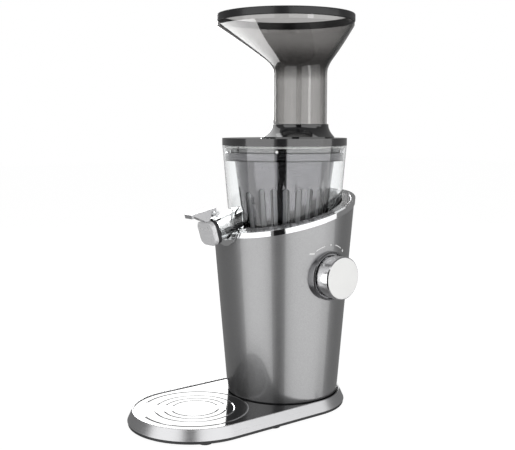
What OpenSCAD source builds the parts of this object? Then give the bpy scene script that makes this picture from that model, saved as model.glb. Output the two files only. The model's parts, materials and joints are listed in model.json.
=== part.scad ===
// Slow juicer: a tapered motor column on a long oval base with a cup tray, a clear juice bowl, a tall hopper.
// The origin is on the floor below the bowl axis. +Z is up, the juice spout points to -X, the knob faces -Y.

/* [Base] */
// How much the base is wider than the foot of the body, all round
base_margin = 10.3; // [8:0.1:16]
// Distance between the centres of the two round ends
base_span = 125.4; // [112:0.2:140]
// Distance from the bowl axis to the centre of the nearer round end, towards the spout
base_back = 4.5; // [2:0.1:8]
// Height of the feet that shows under the pan
foot_h = 2.2; // [1.5:0.1:4]
// Radius of a foot
foot_r = 8; // [6:0.5:10]
// Thickness of the flange of the pan, below the metal rim
pan_flange_h = 3.1; // [2.4:0.1:4]
// Height of the metal rim
rim_h = 11.9; // [10:0.1:14]
// How far the metal rim leans in over its height
rim_lean = 5.5; // [3:0.1:8]
// Thickness of the tray
deck_h = 4; // [3:0.1:5]
// Width of the tray outside its widest ring
tray_border = 10.15; // [8:0.05:20]

/* [Body] */
// Outer radius of the body at its lower edge
body_foot_r = 66.4; // [56:0.1:78]
// Height of the body at the bowl axis, from its lower edge to the chrome collar
body_h = 210.9; // [185:0.1:245]
// Widening of the body radius for each millimetre of height
body_taper = 0.082; // [0.07:0.001:0.09]
// Distance from the bowl axis to the body axis, towards the spout
body_shift = 2.6; // [1:0.1:4]
// Thickness of the body wall
body_wall = 2.6; // [2:0.1:3.2]
// Height of the dark gap between the tray and the body
body_gap = 1.2; // [0.8:0.1:2]

/* [Collar] */
// Rise of the collar for each millimetre towards the back of the base
collar_slope = 0.245; // [0.2:0.005:0.28]
// Height of the chrome collar band
collar_h = 6.6; // [5:0.1:8]
// How far the collar stands proud of the body
collar_proud = 1; // [0.6:0.1:1.6]

/* [Bowl] */
// Height of the bowl from its underside to its rim
bowl_h = 106.6; // [92:0.1:126]
// Depth of the underside of the bowl below the collar, at the bowl axis
bowl_sink = 24.3; // [22:0.1:27]
// How much narrower the foot of the bowl is than the foot of the body
bowl_inset = 2; // [1:0.1:6]
// Widening of the bowl radius for each millimetre of height
bowl_taper = 0.0845; // [0.07:0.0005:0.09]
// Thickness of the bowl wall
bowl_wall = 2.6; // [2:0.1:3]
// Depth below the bowl rim of the step that carries the strainer
step_depth = 17.2; // [15:0.2:22]

/* [Spouts] */
// Distance from the bowl axis to the mouth of the juice spout
spout_reach = 103.7; // [100:0.1:108]
// Height of the middle of the mouth of the juice spout above the underside of the bowl
spout_mouth_up = 12.4; // [10:0.2:14]
// Slope of the juice spout below the horizontal, in degrees
spout_slope = 16; // [12:0.5:18]
// Bore radius of the juice spout
spout_bore_r = 12.2; // [10:0.1:13]
// Outer radius of the juice spout
spout_r = 14.1; // [13.5:0.1:14.6]
// Distance from the bowl axis to the mouth of the pulp spout
pulp_reach = 104; // [98:0.5:112]
// Height of the middle of the mouth of the pulp spout above the underside of the bowl
pulp_mouth_up = 2; // [-1:0.5:4]
// Slope of the pulp spout below the horizontal, in degrees
pulp_slope = 22; // [18:0.5:25]
// Width of the spout cap
cap_w = 29; // [27:0.5:31]
// Height of the spout cap
cap_h = 28; // [27:0.5:29]

/* [Strainers and auger] */
// Radial room between the bowl and the outer strainer, at the foot
juice_room = 16.6; // [14:0.1:19]
// Widening of the strainer radius for each millimetre of height
strainer_taper = 0.133; // [0.11:0.001:0.14]
// Thickness of the outer strainer wall
strainer_wall = 2; // [1.6:0.1:2.4]
// Number of upright slots round the outer strainer
strainer_slots = 24; // [16:4:32]
// Width of a slot of the outer strainer
slot_w = 7.5; // [4:0.1:8]
// Number of fine slots round the inner strainer
inner_slots = 36; // [24:12:48]
// Thickness of the inner strainer wall
inner_wall = 1.6; // [1.2:0.1:2]
// Radial depth from the outside of the strainer to the core of the auger, at the foot
auger_depth = 13.8; // [12:0.1:17]
// Distance from the bowl rim down to the top of the auger body
auger_drop = 10.6; // [10:0.1:18]
// Turns of an auger flight
auger_turns = 1.1; // [0.8:0.05:1.4]

/* [Lid and hopper] */
// How far the lid plate reaches past the rim of the bowl
lid_over = 0.27; // [0:0.01:2]
// Thickness of the lid plate
lid_h = 8.4; // [6:0.1:10]
// Distance from the bowl axis to the axis of the feed chute
chute_x = 24.4; // [20:0.2:26]
// Outer radius of the feed chute
chute_r = 32; // [30:0.1:33]
// Thickness of the chute and funnel wall
chute_wall = 2.4; // [2:0.1:3]
// Height of the neck of the lid above the lid plate
neck_h = 16.4; // [15:0.2:24]
// Length of the feed chute between the neck and the funnel
chute_h = 60.4; // [50:0.1:70]
// Height of the funnel with its rim
funnel_h = 66; // [56:0.5:78]
// Outer radius of the hopper rim
hopper_r = 80.9; // [76:0.1:84]
// Distance from the bowl axis to the middle of the hopper rim
hopper_x = 1.3; // [0:0.1:4]

/* [Knob] */
// Distance from the collar, at the bowl axis, down to the knob axis
knob_down = 63.3; // [58:0.1:70]
// Outer radius of the bezel
bezel_r = 27.7; // [26:0.1:29]
// How far the bezel stands out of the body
bezel_proud = 6.7; // [5.5:0.1:9]
// Outer radius of the knob
knob_r = 24.3; // [23:0.1:24.5]
// How far the knob face stands in front of the bezel
knob_proud = 17.8; // [14:0.2:22]

/* [Gear train] */
// Distance between neighbouring gear shafts as a share of the radius inside the body
gear_share = 0.475; // [0.46:0.001:0.48]
// Teeth on each small gear
pinion_teeth = 12; // [12:1:13]
// Teeth on the wheel of the first stage
wheel_one_teeth = 58; // [56:1:58]
// Teeth on the wheel of the second stage
wheel_two_teeth = 44; // [42:1:44]
// Teeth on the output gear
output_teeth = 38; // [36:1:38]
// Radius of the drive shaft
drive_r = 7; // [6:0.1:7.5]
// Width across the flats of the driving end of the shaft
drive_flats = 12; // [10:0.1:12]
// Height of the top of the drive shaft above the underside of the bowl
drive_rise = 28; // [24:0.5:32]

/* [Motor] */
// Radial room between the motor can and the foot of the body
motor_room = 30.4; // [29:0.2:34]
// Height of the motor can above the floor of the body
motor_lift = 32.8; // [30:0.2:40]
// Radius of the motor shaft
motor_shaft_r = 4; // [3.6:0.1:4.4]
// Number of blades on the cooling fan
fan_blades = 9; // [7:1:11]

/* [Fits] */
// Running gap round a shaft in its bearing
running_gap = 0.05; // [0.02:0.01:0.09]
// Gap between pieces that are put together and taken apart
loose_gap = 0.3; // [0.2:0.05:0.4]
// Gap between fixed curved pieces of the housing
seat_gap = 0.15; // [0.1:0.05:0.25]

/* [Hidden] */
$fn = 96;
reach = 400;      // larger than the whole object, for cutting with planes
over = 0.5;       // overrun of every cut
facets = 60;      // sides of the lofted shells

// Base sizes
base_r = body_foot_r + base_margin;
end_near_x = -base_back;
end_far_x = -base_back - base_span;
rim_z = foot_h + pan_flange_h;
rim_top = rim_z + rim_h;
rim_top_r = base_r - rim_lean;
rim_land = 1.2;
pan_r = base_r - 0.8 * rim_land;
pan_floor_h = 2.4;
pan_wall = 2.6;
tray_r = rim_top_r - rim_land - seat_gap;
deck_sink = 1;    // tray surface below the top of the rim
deck_top = rim_top - deck_sink;
deck_z = deck_top - deck_h;
deck_hole_in = 20.4;
deck_hole_r = body_foot_r - deck_hole_in;
foot_ring_r = base_r - foot_r - 2.4 * rim_land;
foot_stem_r = 3;
foot_stem_h = 2;
foot_edge = 0.6;
tray_shift = 0.6;
tray_x = end_far_x - tray_shift;
tray_ring_r = tray_r - tray_border;
tray_ring_w = 1.3;
tray_ring_depth = 0.7;
tray_step_w = 2.2;
tray_ring_shares = [0.444, 0.588, 0.754];
foot_angles = [115, 62];
foot_places = [for (e = [[end_far_x, foot_angles[0]], [end_near_x, foot_angles[1]]], s = [1, -1])
  [e[0], s * e[1]]];
mid_foot_x = end_far_x + 0.48 * base_span;
screw_ring_in = 12.4;
screw_ring_r = body_foot_r - screw_ring_in;
screw_r = 1.9;
screw_head_r = 3.6;
screw_head_h = 2;
screw_boss_r = 5;
screw_angles = [45, 135, 225, 315];
vent_w = 3;
vent_pitch = 7;
vent_count = 4;
vent_reach = 34;

// Body sizes
body_x = -body_shift;
body_z = deck_top + body_gap;
floor_h = 3;
floor_rim_h = 12;
floor_top = body_z + floor_h - body_gap;
floor_wall = 2.4;
floor_gap = 0.8;
floor_r = body_foot_r - body_wall - floor_gap;
ledge_in = 1.7;
floor_ledge_r = body_foot_r - ledge_in;
board_in = 20.4;
board_x = body_foot_r - board_in;
board_h = 1.6;
board_w = 40;
board_lift = 5;
board_z = floor_top + board_lift;
rail_w = 6;
rail_h = 16;
rail_depth = 7;
cap_part_r = 5;
cap_part_h = 11;
relay_w = 15;
relay_h = 9;
bush_r = 6;
bush_bore_r = 3.5;
bush_flange_r = 8.4;
bush_flange_h = 2;
bush_lift = 2.2;
bush_z = body_z + floor_rim_h + bush_flange_r + bush_lift;
function body_r(z) = body_foot_r + body_taper * (z - body_z);
bush_x = body_x + body_r(bush_z);
collar_z = body_z + body_h;

// Collar and well sizes
slope_angle = atan(collar_slope);
collar_top_z = collar_z + collar_h;
collar_depth = 4.4;
deck_drop = 0.5;  // well deck below the top edge of the collar
well_h = 3;
well_wall = 2.4;
lip_h = 7;
notch_gap = 1.3;
lip_proud = 4;
notch_r = spout_r + notch_gap;
bowl_gap = 0.8;
bowl_foot_r = body_foot_r - bowl_inset;
bowl_floor_z = collar_z - bowl_sink;
bowl_top = bowl_floor_z + bowl_h;
step_z = bowl_top - step_depth;
bowl_foot_h = 7;
well_floor_h = 3;
well_floor_top = bowl_floor_z - bowl_foot_h;
well_floor_z = well_floor_top - well_floor_h;
chimney_h = 6;
chimney_wall = 3;
function bowl_r(z) = bowl_foot_r + bowl_taper * (z - bowl_floor_z);

// Spout sizes
spout_mouth_z = bowl_floor_z + spout_mouth_up;
pulp_mouth_z = bowl_floor_z + pulp_mouth_up;
spout_tilt = 90 + spout_slope;
pulp_tilt = 90 + pulp_slope;
pulp_r = 15.2;
pulp_bore_r = 13.2;
spout_lip = 0.7;
spout_lip_r = spout_r + spout_lip;
spout_lip_h = 2;
cap_corner_r = 8;
cap_plate_h = 5.4;
cap_seal_h = 4.5;
cap_front = cap_seal_h + cap_plate_h + loose_gap;
plug_gap = 1.6;
plug_h = 2;
hinge_up = 18.6;
hinge_back = 4.6;
hinge_pin_r = 1.5;
knuckle_r = 3.7;
knuckle_w = 11;
ear_w = 2.6;
ear_gap = 0.4;
lever_w = 14;
tip_w = 3;
tip_drop = 2;
tab_h = 2.6;
tab_reach = 27.2;
tab_rise = 26;
tab_end_rise = 28.6;
wedge_back = 0.4;

// Strainer and auger sizes
strainer_foot_r = bowl_foot_r - juice_room;
auger_core_r = strainer_foot_r - auger_depth;
auger_top = bowl_top - auger_drop;
bowl_floor_h = 3;
bowl_floor_top = bowl_floor_z + bowl_floor_h;
strainer_z = bowl_floor_top + loose_gap;
strainer_floor_h = 2;
flange_h = 2.2;
rim_wall = 1.6;
flange_r = bowl_r(step_z) - rim_wall - loose_gap;
flange_rim_h = 9.2;
flange_rim_w = 2.4;
slot_lift = 7;
slot_share = 0.61;
slot_z = strainer_z + slot_lift;
slot_top = slot_z + slot_share * (step_z - slot_z);
arch_w = 11;
arch_drop = 5;
arch_top = slot_top - arch_drop;
pulp_window_w = 24;
pulp_window_h = 18;
pulp_window_turn = 20;
arch_turn = 12;
inner_gap = 0.5;
inner_z = strainer_z + strainer_floor_h + loose_gap;
inner_drop = 3;
inner_top = step_z - inner_drop;
inner_slot_w = 1.6;
inner_ring_h = 2;
function strainer_r(z) = strainer_foot_r + strainer_taper * (z - strainer_z);
function inner_r(z) = strainer_r(z) - strainer_wall - inner_gap;
auger_gap = 0.8;
auger_z = inner_z + loose_gap;
auger_rows = 26;
flight_count = 2;
flight_runout = 0.16;
hub_pocket_r = 14;
hub_pocket_h = 8;
hub_r = 11;
hub_h = 16;
tube_r = 12.6;
tube_bore_r = 10;
tube_gap = 1.2;
tube_top = auger_z + hub_pocket_h - tube_gap;
pin_r = 4.5;
pin_h = 9;
pin_top = auger_top + pin_h;
core_shares = [[0, 1], [0.35, 0.97], [0.6, 0.74], [0.85, 0.4], [1, 0.26]];
flight_shares = [[0, 0], [0.05, 1], [0.12, 1], [0.19, 0], [0.27, 0], [0.35, 0], [0.43, 0],
  [0.51, 0], [0.59, 0], [0.67, 0], [0.75, 0], [0.83, 0], [0.92, 0]];

// Lid and hopper sizes
lid_gap = 0.2;
lid_z = bowl_top + lid_gap;
lid_r = bowl_r(bowl_top) + lid_over;
lid_top = lid_z + lid_h;
skirt_h = 7;
skirt_w = 2.4;
tab_depth = 3.3;
tab_r = bowl_r(bowl_top) - tab_depth;
skirt_gap = 0.5;
skirt_r = tab_r - skirt_gap;
lug_h = 3.6;
lug_w = 1.3;
tab_sweep = 25;
tab_drop = 0.6;
bayonet_h = 2;
tab_z = bowl_top - tab_drop - bayonet_h;
lid_seal_w = 1;
lid_seal_h = 1.8;
lug_count = 6;
lug_turn = 51;
lug_sweep = 22;
socket_h = 14;
neck_wall = 1.9;
neck_r = chute_r + neck_wall;
neck_foot_in = 29.8;
neck_lean_share = 0.396;
neck_bend = 2;
neck_foot_r = lid_r - neck_foot_in;
neck_foot_x = chute_x - neck_lean_share * (neck_foot_r - neck_r);
neck_top = lid_top + neck_h;
neck_foot_h = 1.4;
neck_rows = 9;
feed_r = chute_r - chute_wall;
bush_wall = 3;
lid_bush_r = 9;
lid_bush_lift = 2.4;
lid_bush_z = auger_top + lid_bush_lift;
arm_w = 11;
funnel_shares = [[0, 0], [0.06, 0.0068], [0.12, 0.027], [0.18, 0.061], [0.24, 0.1085],
  [0.315, 0.187], [0.55, 0.466], [0.8, 0.763], [1, 1]];
funnel_bend = 1.25;
funnel_z = neck_top + chute_h;
total_h = funnel_z + funnel_h;
hopper_rim_h = 8.5;
mouth_in = 0.9;
mouth_lip_h = 4.5;
mouth_z = total_h - hopper_rim_h;
funnel_top = mouth_z - mouth_lip_h;
mouth_r = hopper_r - mouth_in;
hopper_rim_w = 3.6;

// Knob sizes
knob_z = collar_z - knob_down;
bezel_front = body_r(knob_z) + bezel_proud;
knob_front = bezel_front + knob_proud;
bezel_lip = 2.4;
bezel_edge = 1.6;
bezel_recess = 3.2;
bezel_floor_q = bezel_front - bezel_recess;
bezel_neck_r = 22.6;
bezel_neck_wall = 2;
bezel_depth = 17.2;
bezel_back_q = bezel_front - bezel_depth;
bezel_back_h = 3;
bezel_hole_r = 4.7;
knob_gap = 0.4;
knob_groove_out = 0.8;
knob_back_q = bezel_floor_q + knob_gap;
knob_groove_q = bezel_front + knob_groove_out;
knob_groove_h = 1;
knob_groove = 0.9;
knob_edge = 1.2;
knob_wall = 3;
knob_hub_r = 6.5;
face_r = 22.6;
face_h = 1.4;
switch_w = 28;
switch_h = 14;
switch_back = 15;
switch_q = bezel_back_q - switch_back;
switch_bush_r = 4.5;
switch_bush_out = 4.2;
switch_bush_h = bezel_back_q + bezel_back_h + switch_bush_out - switch_q - switch_h;
nut_flats = 12;
nut_h = 2.2;
shaft_r = 3;
shaft_flat = 1;

// Gear and gearbox sizes
box_floor_h = 5;
gear_space = 2;
stage_one_h = 8;
stage_two_h = 10;
stage_three_h = 14;
stage_gap = 3;
cover_h = 4;
post_h = 4;
box_h = box_floor_h + gear_space + stage_one_h + stage_two_h + stage_three_h + 3 * stage_gap;
motor_top = well_floor_z - post_h - cover_h - box_h;
gear_centres = gear_share * (body_r(motor_top) - body_wall);
module_one = 2 * gear_centres / (pinion_teeth + wheel_one_teeth);
module_two = 2 * gear_centres / (pinion_teeth + wheel_two_teeth);
module_three = 2 * gear_centres / (pinion_teeth + output_teeth);
pressure_angle = 25;
backlash = 0.26;
addendum_share = 0.9;
dedendum_share = 1.2;
flank_shares = [0, 0.5, 1];
web_h = 3;
web_rim = 4;
web_hub = 4;
web_land = 1;
idler_one_turn = 90;
idler_two_turn = 30;
idler_one = gear_centres * [cos(idler_one_turn), sin(idler_one_turn)];
idler_two = gear_centres * [cos(idler_two_turn), sin(idler_two_turn)];
stage_two_turn = atan2(idler_two[1] - idler_one[1], idler_two[0] - idler_one[0]);
box_wall = 3;
box_gap = 2;
box_z = motor_top;
stage_one_z = box_z + box_floor_h + gear_space;
stage_two_z = stage_one_z + stage_one_h + stage_gap;
stage_three_z = stage_two_z + stage_two_h + stage_gap;
box_top = stage_three_z + stage_three_h + stage_gap;
post_z = box_top + cover_h;
bearing_tube_r = 16;
bearing_r = 13;
bearing_h = 3.6;
bearing_lip_r = 9.6;
idler_pin_r = 3;
pin_seat_h = 3;
boss_r = 5;
boss_h = 24;
boss_turns = [205, 290, 140, -35];
boss_centres = [[0, 0], [0, 0], idler_one, idler_two];
boss_places = [for (i = [0:3]) [boss_centres[i], boss_turns[i]]];
boss_sink = 1;
drive_top = bowl_floor_z + drive_rise;
function outer_tip(teeth, m) = m * (teeth / 2 + addendum_share);
lobe_one_r = outer_tip(output_teeth, module_three) + box_gap;
lobe_two_r = outer_tip(wheel_one_teeth, module_one) + box_gap;
lobe_three_r = outer_tip(wheel_two_teeth, module_two) + box_gap;
lobes = [[[0, 0], lobe_one_r], [idler_one, lobe_two_r], [idler_two, lobe_three_r]];
function lobe_radius(place) = place == idler_one ? lobe_two_r
  : place == idler_two ? lobe_three_r : lobe_one_r;
function boss_place(b) = b[0] + (lobe_radius(b[0]) + box_wall + boss_r - boss_sink) * [cos(b[1]), sin(b[1])];

// Motor sizes
can_wall = 1.6;
can_top_h = 2;
motor_r = body_foot_r - motor_room;
can_z = floor_top + motor_lift;
motor_can_h = motor_top - can_z;
board_drop = 27.8;
board_top = motor_top - board_drop;
end_cap_h = 8;
motor_bearing_r = 11;
motor_bearing_h = 7;
bearing_hub_wall = 2;
stator_lift = 12;
stator_room = 34;
stator_depth = 15;
stator_z = can_z + stator_lift;
stator_h = motor_can_h - stator_room;
stator_bore_r = motor_r - stator_depth;
stator_slots = 12;
slot_hole_r = 3;
air_gap = 0.6;
winding_r = 4;
pinion_shaft_r = 3;
fan_drop = 13;
fan_in = 6;
fan_z = can_z - end_cap_h - fan_drop;
fan_h = 10;
fan_r = motor_r - fan_in;
fan_hub_r = 8;
fan_blade_w = 1.6;
fan_plate_h = 1.6;
motor_screw_in = 11;
motor_screw_ring_r = motor_r - motor_screw_in;
motor_hole_r = 7;

// Reed switch and magnet
reed_w = 20;
reed_h = 9;
reed_depth = 5;
reed_lift = 5;
reed_z = well_floor_top + reed_lift;
magnet_r = 3;
magnet_h = 5;

// General shapes

// A plain slab with two round ends, as the plan of the base
module stadium(r, h) {
  for (x = [end_near_x, end_far_x]) translate([x, 0, 0]) cylinder(r = r, h = h);
  translate([end_far_x, -r, 0]) cube([base_span, 2 * r, h]);
}

// The same plan with walls that lean in
module leaning_stadium(r, lean, h) {
  for (x = [end_near_x, end_far_x]) translate([x, 0, 0]) cylinder(r1 = r, r2 = r - lean, h = h);
  translate([end_far_x, 0, 0]) rotate([90, 0, 90]) linear_extrude(base_span)
    polygon([[-r, 0], [r, 0], [r - lean, h], [lean - r, h]]);
}

// A solid cone that follows the body, grown by a set amount
module body_cone(grow, z0, z1) {
  translate([body_x, 0, z0]) cylinder(r1 = body_r(z0) + grow, r2 = body_r(z1) + grow, h = z1 - z0);
}

// A solid cone that follows the bowl, grown by a set amount
module bowl_cone(grow, z0, z1) {
  translate([0, 0, z0]) cylinder(r1 = bowl_r(z0) + grow, r2 = bowl_r(z1) + grow, h = z1 - z0);
}

// Everything above the sloping plane that crosses the bowl axis at z
module above_slope(z) {
  translate([0, 0, z]) rotate([0, -slope_angle, 0]) translate([-reach, -reach, 0])
    cube([2 * reach, 2 * reach, reach]);
}

// Puts its children at the mouth of the juice spout, with Z out of the mouth and X up
module at_spout() {
  translate([-spout_reach, 0, spout_mouth_z]) rotate([0, -spout_tilt, 0]) children();
}

// Puts its children at the mouth of the pulp spout
module at_pulp() {
  rotate([0, 0, -90]) translate([-pulp_reach, 0, pulp_mouth_z]) rotate([0, -pulp_tilt, 0]) children();
}

// The path that a spout needs, open upwards so that the bowl can be lifted out
module lift_path(r) {
  translate([0, 0, -reach]) cylinder(r = r, h = 2 * reach);
  translate([0, -r, -reach]) cube([reach, 2 * r, 2 * reach]);
}

// Room for both spouts, and for the cap in front of the juice spout
module both_paths(r) {
  at_spout() intersection() {
    lift_path(r);
    translate([-reach, -reach, -spout_reach + bowl_foot_r / 2]) cube([2 * reach, 2 * reach, reach]);
  }
  at_spout() cap_plan(notch_gap, reach);
  at_pulp() intersection() {
    lift_path(r + pulp_r - spout_r);
    translate([-reach, -reach, -pulp_reach + bowl_foot_r / 2]) cube([2 * reach, 2 * reach, reach]);
  }
}

// A ring with square edges
module ring(r_in, r_out, h) {
  rotate_extrude() translate([r_in, 0]) square([r_out - r_in, h]);
}

// Puts its children on the knob axis, with Z pointing out of the front
module at_knob(q) {
  translate([0, -q, knob_z]) rotate([90, 0, 0]) children();
}

// A screw with its head down
module screw_up(head_r, shank_r, head_h, length) {
  cylinder(r = head_r, h = head_h);
  translate([0, 0, head_h]) cylinder(r = shank_r, h = length - head_h);
}

// One straight or curved wall between two lists of rings of points, closed at both ends
function ring_points(cx, r, z, n) =
  [for (i = [0:n - 1]) [cx + r * cos(360 * i / n), r * sin(360 * i / n), z]];
function skin_faces(rows, n) = [for (k = [0:rows - 2], i = [0:n - 1], h = [0, 1])
  let (a = k * n + i, b = k * n + (i + 1) % n)
  h == 0 ? [a, b + n, b] : [a, a + n, b + n]];

// A closed solid through a list of rings, each with the same number of points, from bottom to top
module skin(rings) {
  n = len(rings[0]);
  rows = len(rings);
  points = [for (r = rings) each r];
  faces = concat(skin_faces(rows, n), [[for (i = [0:n - 1]) i]],
    [[for (i = [n - 1:-1:0]) (rows - 1) * n + i]]);
  polyhedron(points, faces);
}

// A shell whose rings run up the outside and down the inside
module shell_skin(rings) {
  n = len(rings[0]);
  rows = len(rings);
  closed = concat(rings, [rings[0]]);
  polyhedron([for (r = closed) each r], skin_faces(rows + 1, n));
}

// Base

module feet() color("#1c1c1e") {
  for (p = foot_places) translate([p[0] + foot_ring_r * cos(p[1]), foot_ring_r * sin(p[1]), 0]) foot();
  for (s = [-1, 1]) translate([mid_foot_x, s * foot_ring_r, 0]) foot();
}

module foot() {
  rotate_extrude() polygon([[0, 0], [foot_r - foot_edge, 0], [foot_r, foot_edge], [foot_r, foot_h],
    [foot_stem_r, foot_h], [foot_stem_r, foot_h + foot_stem_h], [0, foot_h + foot_stem_h]]);
}

module foot_holes() {
  for (p = foot_places) translate([p[0] + foot_ring_r * cos(p[1]), foot_ring_r * sin(p[1]), 0])
    cylinder(r = foot_stem_r + seat_gap, h = rim_z + pan_floor_h);
  for (s = [-1, 1]) translate([mid_foot_x, s * foot_ring_r, 0])
    cylinder(r = foot_stem_r + seat_gap, h = rim_z + pan_floor_h);
}

module vent_slots(z, h) {
  for (i = [-vent_count:vent_count]) translate([i * vent_pitch - vent_w / 2, -vent_reach, z])
    cube([vent_w, 2 * vent_reach, h]);
}

module at_base_screws() {
  for (a = screw_angles) translate([body_x + screw_ring_r * cos(a), screw_ring_r * sin(a), 0]) children();
}

module base_pan() color("#202123") difference() {
  union() {
    translate([0, 0, foot_h]) stadium(pan_r, pan_flange_h);
    difference() {
      translate([0, 0, rim_z]) stadium(tray_r, deck_z - rim_z);
      translate([0, 0, foot_h + pan_floor_h]) stadium(tray_r - pan_wall, reach);
    }
    at_base_screws() translate([0, 0, foot_h]) cylinder(r = screw_boss_r, h = deck_z - foot_h);
  }
  difference() {
    translate([0, 0, foot_h + pan_floor_h]) stadium(tray_r - pan_wall, deck_z);
    at_base_screws() cylinder(r = screw_boss_r, h = deck_z);
  }
  at_base_screws() {
    cylinder(r = screw_r + seat_gap, h = reach);
    cylinder(r = screw_head_r + seat_gap, h = foot_h + screw_head_h + foot_edge);
  }
  foot_holes();
  vent_slots(0, deck_z);
}

module base_rim() color("#c9cacc") difference() {
  translate([0, 0, rim_z]) leaning_stadium(base_r, rim_lean, rim_h);
  translate([0, 0, rim_z - over]) stadium(tray_r + seat_gap, rim_h + 2 * over);
}

module base_deck() color("#141416") difference() {
  translate([0, 0, deck_z]) stadium(tray_r, deck_h);
  translate([body_x, 0, deck_z - over]) cylinder(r = deck_hole_r, h = deck_h + 2 * over);
  at_base_screws() cylinder(r = screw_r + seat_gap, h = reach);
  translate([tray_x, 0, deck_top - tray_ring_depth]) {
    for (s = tray_ring_shares)
      ring(s * tray_ring_r - tray_ring_w / 2, s * tray_ring_r + tray_ring_w / 2, deck_h);
    ring(tray_ring_r - tray_step_w / 2, tray_ring_r + tray_step_w / 2, deck_h);
  }
}

module base_screws() color("#8d9094") at_base_screws()
  translate([0, 0, foot_h + foot_edge]) screw_up(screw_head_r, screw_r, screw_head_h, floor_top + floor_h);

// Body

module body_floor() color("#2a2b2d") difference() {
  union() {
    translate([body_x, 0, deck_top]) cylinder(r = floor_ledge_r, h = body_gap);
    translate([body_x, 0, deck_top]) cylinder(r = floor_r, h = floor_h);
    translate([body_x, 0, deck_top]) ring(floor_r - floor_wall, floor_r, floor_h + floor_rim_h);
    at_base_screws() translate([0, 0, deck_top]) cylinder(r = screw_boss_r, h = 2 * floor_h + screw_boss_r);
    for (s = [-1, 1])
      translate([board_x - rail_depth / 2 + board_h / 2, s * board_w / 2 - rail_w / 2, deck_top])
        cube([rail_depth, rail_w, rail_h]);
  }
  at_base_screws() cylinder(r = screw_r + seat_gap, h = floor_top + floor_h + foot_h + foot_edge + over);
  vent_slots(deck_z, rail_h);
  translate([board_x - seat_gap, -board_w / 2 - seat_gap, board_z - seat_gap])
    cube([board_h + 2 * seat_gap, board_w + 2 * seat_gap, rail_h]);
}

module body_shell() color("#8c8c8e") difference() {
  body_cone(0, body_z, collar_top_z + reach / 4);
  body_cone(-body_wall, body_z - over, collar_top_z + reach / 2);
  above_slope(collar_z);
  both_paths(notch_r + lip_h);
  at_knob(0) cylinder(r = bezel_neck_r + bezel_neck_wall + loose_gap, h = reach);
  translate([0, 0, bush_z]) rotate([0, 90, 0]) cylinder(r = bush_r + seat_gap, h = reach);
}

// The band between the sloping planes, and the lips that carry it round under the two spouts
module collar_ring() color("#e6e7e9") {
  difference() {
    collar_blank(collar_proud);
    translate([0, 0, collar_z]) rotate([0, -slope_angle, 0]) translate([-reach, -reach, -reach])
      cube([2 * reach, 2 * reach, reach]);
    both_paths(notch_r);
  }
  difference() {
    intersection() {
      collar_blank(lip_proud);
      both_paths(notch_r + lip_h - seat_gap);
    }
    both_paths(notch_r);
  }
}

module collar_blank(proud) difference() {
  body_cone(proud, body_z, collar_top_z + reach / 4);
  body_cone(-collar_depth, body_z - over, collar_top_z + reach / 2);
  above_slope(collar_top_z);
}

// Sloping deck inside the collar, with the recess that the bowl stands in
module body_well() color("#6f7073") difference() {
  union() {
    intersection() {
      body_cone(-collar_depth - seat_gap, well_floor_top, collar_top_z + reach / 4);
      above_slope(collar_top_z - deck_drop - well_h);
    }
    bowl_cone(bowl_gap + well_wall, well_floor_z, collar_top_z + reach / 4);
    translate([0, 0, post_z]) for (b = boss_places) translate(boss_place(b))
      cylinder(r = boss_r, h = well_floor_top - post_z - over);
  }
  above_slope(collar_top_z - deck_drop);
  difference() {
    bowl_cone(bowl_gap, well_floor_top, collar_top_z + reach / 2);
    cylinder(r = drive_r + chimney_wall + 2 * running_gap, h = well_floor_top + chimney_h);
  }
  both_paths(notch_r);
  cylinder(r = drive_r + 2 * chimney_wall / 3, h = reach);
  for (b = boss_places) translate(boss_place(b)) cylinder(r = screw_r, h = well_floor_top - over);
}

module shaft_seal() color("#26272a") translate([0, 0, well_floor_z + over])
  ring(drive_r + running_gap, drive_r + 2 * chimney_wall / 3 - running_gap, chimney_h);

module cord_bush() color("#19191b") translate([0, 0, bush_z]) rotate([0, 90, 0]) difference() {
  union() {
    translate([0, 0, bush_x - body_wall - bush_flange_h - seat_gap]) {
      cylinder(r = bush_r, h = body_wall + 2 * bush_flange_h + 2 * seat_gap);
    }
    difference() {
      translate([0, 0, bush_x - body_wall - 2 * bush_flange_h])
        cylinder(r = bush_flange_r, h = body_wall + 4 * bush_flange_h);
      translate([0, 0, bush_x + bush_flange_h]) cylinder(r = 2 * bush_flange_r, h = reach);
      translate([0, 0, -reach + bush_x - body_wall - bush_flange_h - 2 * seat_gap])
        cylinder(r = 2 * bush_flange_r, h = reach);
      rotate([0, -90, 0]) translate([0, 0, -bush_z]) difference() {
        body_cone(seat_gap, body_z, bush_z + 2 * bush_flange_r);
        body_cone(-body_wall - seat_gap, body_z - over, bush_z + 3 * bush_flange_r);
      }
    }
  }
  cylinder(r = bush_bore_r, h = reach);
}

// Gearbox

module lobe_plan(grow, z, h) {
  for (l = lobes) translate([l[0][0], l[0][1], z]) cylinder(r = l[1] + grow, h = h);
}

module gearbox_housing() color("#9a9da1") difference() {
  union() {
    lobe_plan(box_wall, box_z, box_top - box_z);
    for (b = boss_places) translate(boss_place(b)) translate([0, 0, box_top - boss_h])
      cylinder(r = boss_r, h = boss_h);
  }
  lobe_plan(0, box_z + box_floor_h, box_top);
  translate([0, 0, box_z - over]) cylinder(r = motor_hole_r, h = box_floor_h + 2 * over);
  for (p = [idler_one, idler_two]) translate([p[0], p[1], box_z + box_floor_h - pin_seat_h])
    cylinder(r = idler_pin_r + seat_gap / 2, h = box_top);
  for (b = boss_places) translate(boss_place(b)) cylinder(r = screw_r + seat_gap, h = reach);
  at_motor_screws() {
    translate([0, 0, box_z - over]) cylinder(r = screw_r + seat_gap, h = box_floor_h + 2 * over);
    translate([0, 0, box_z + box_floor_h - screw_head_h]) cylinder(r = screw_head_r + seat_gap, h = box_top);
  }
}

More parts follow.
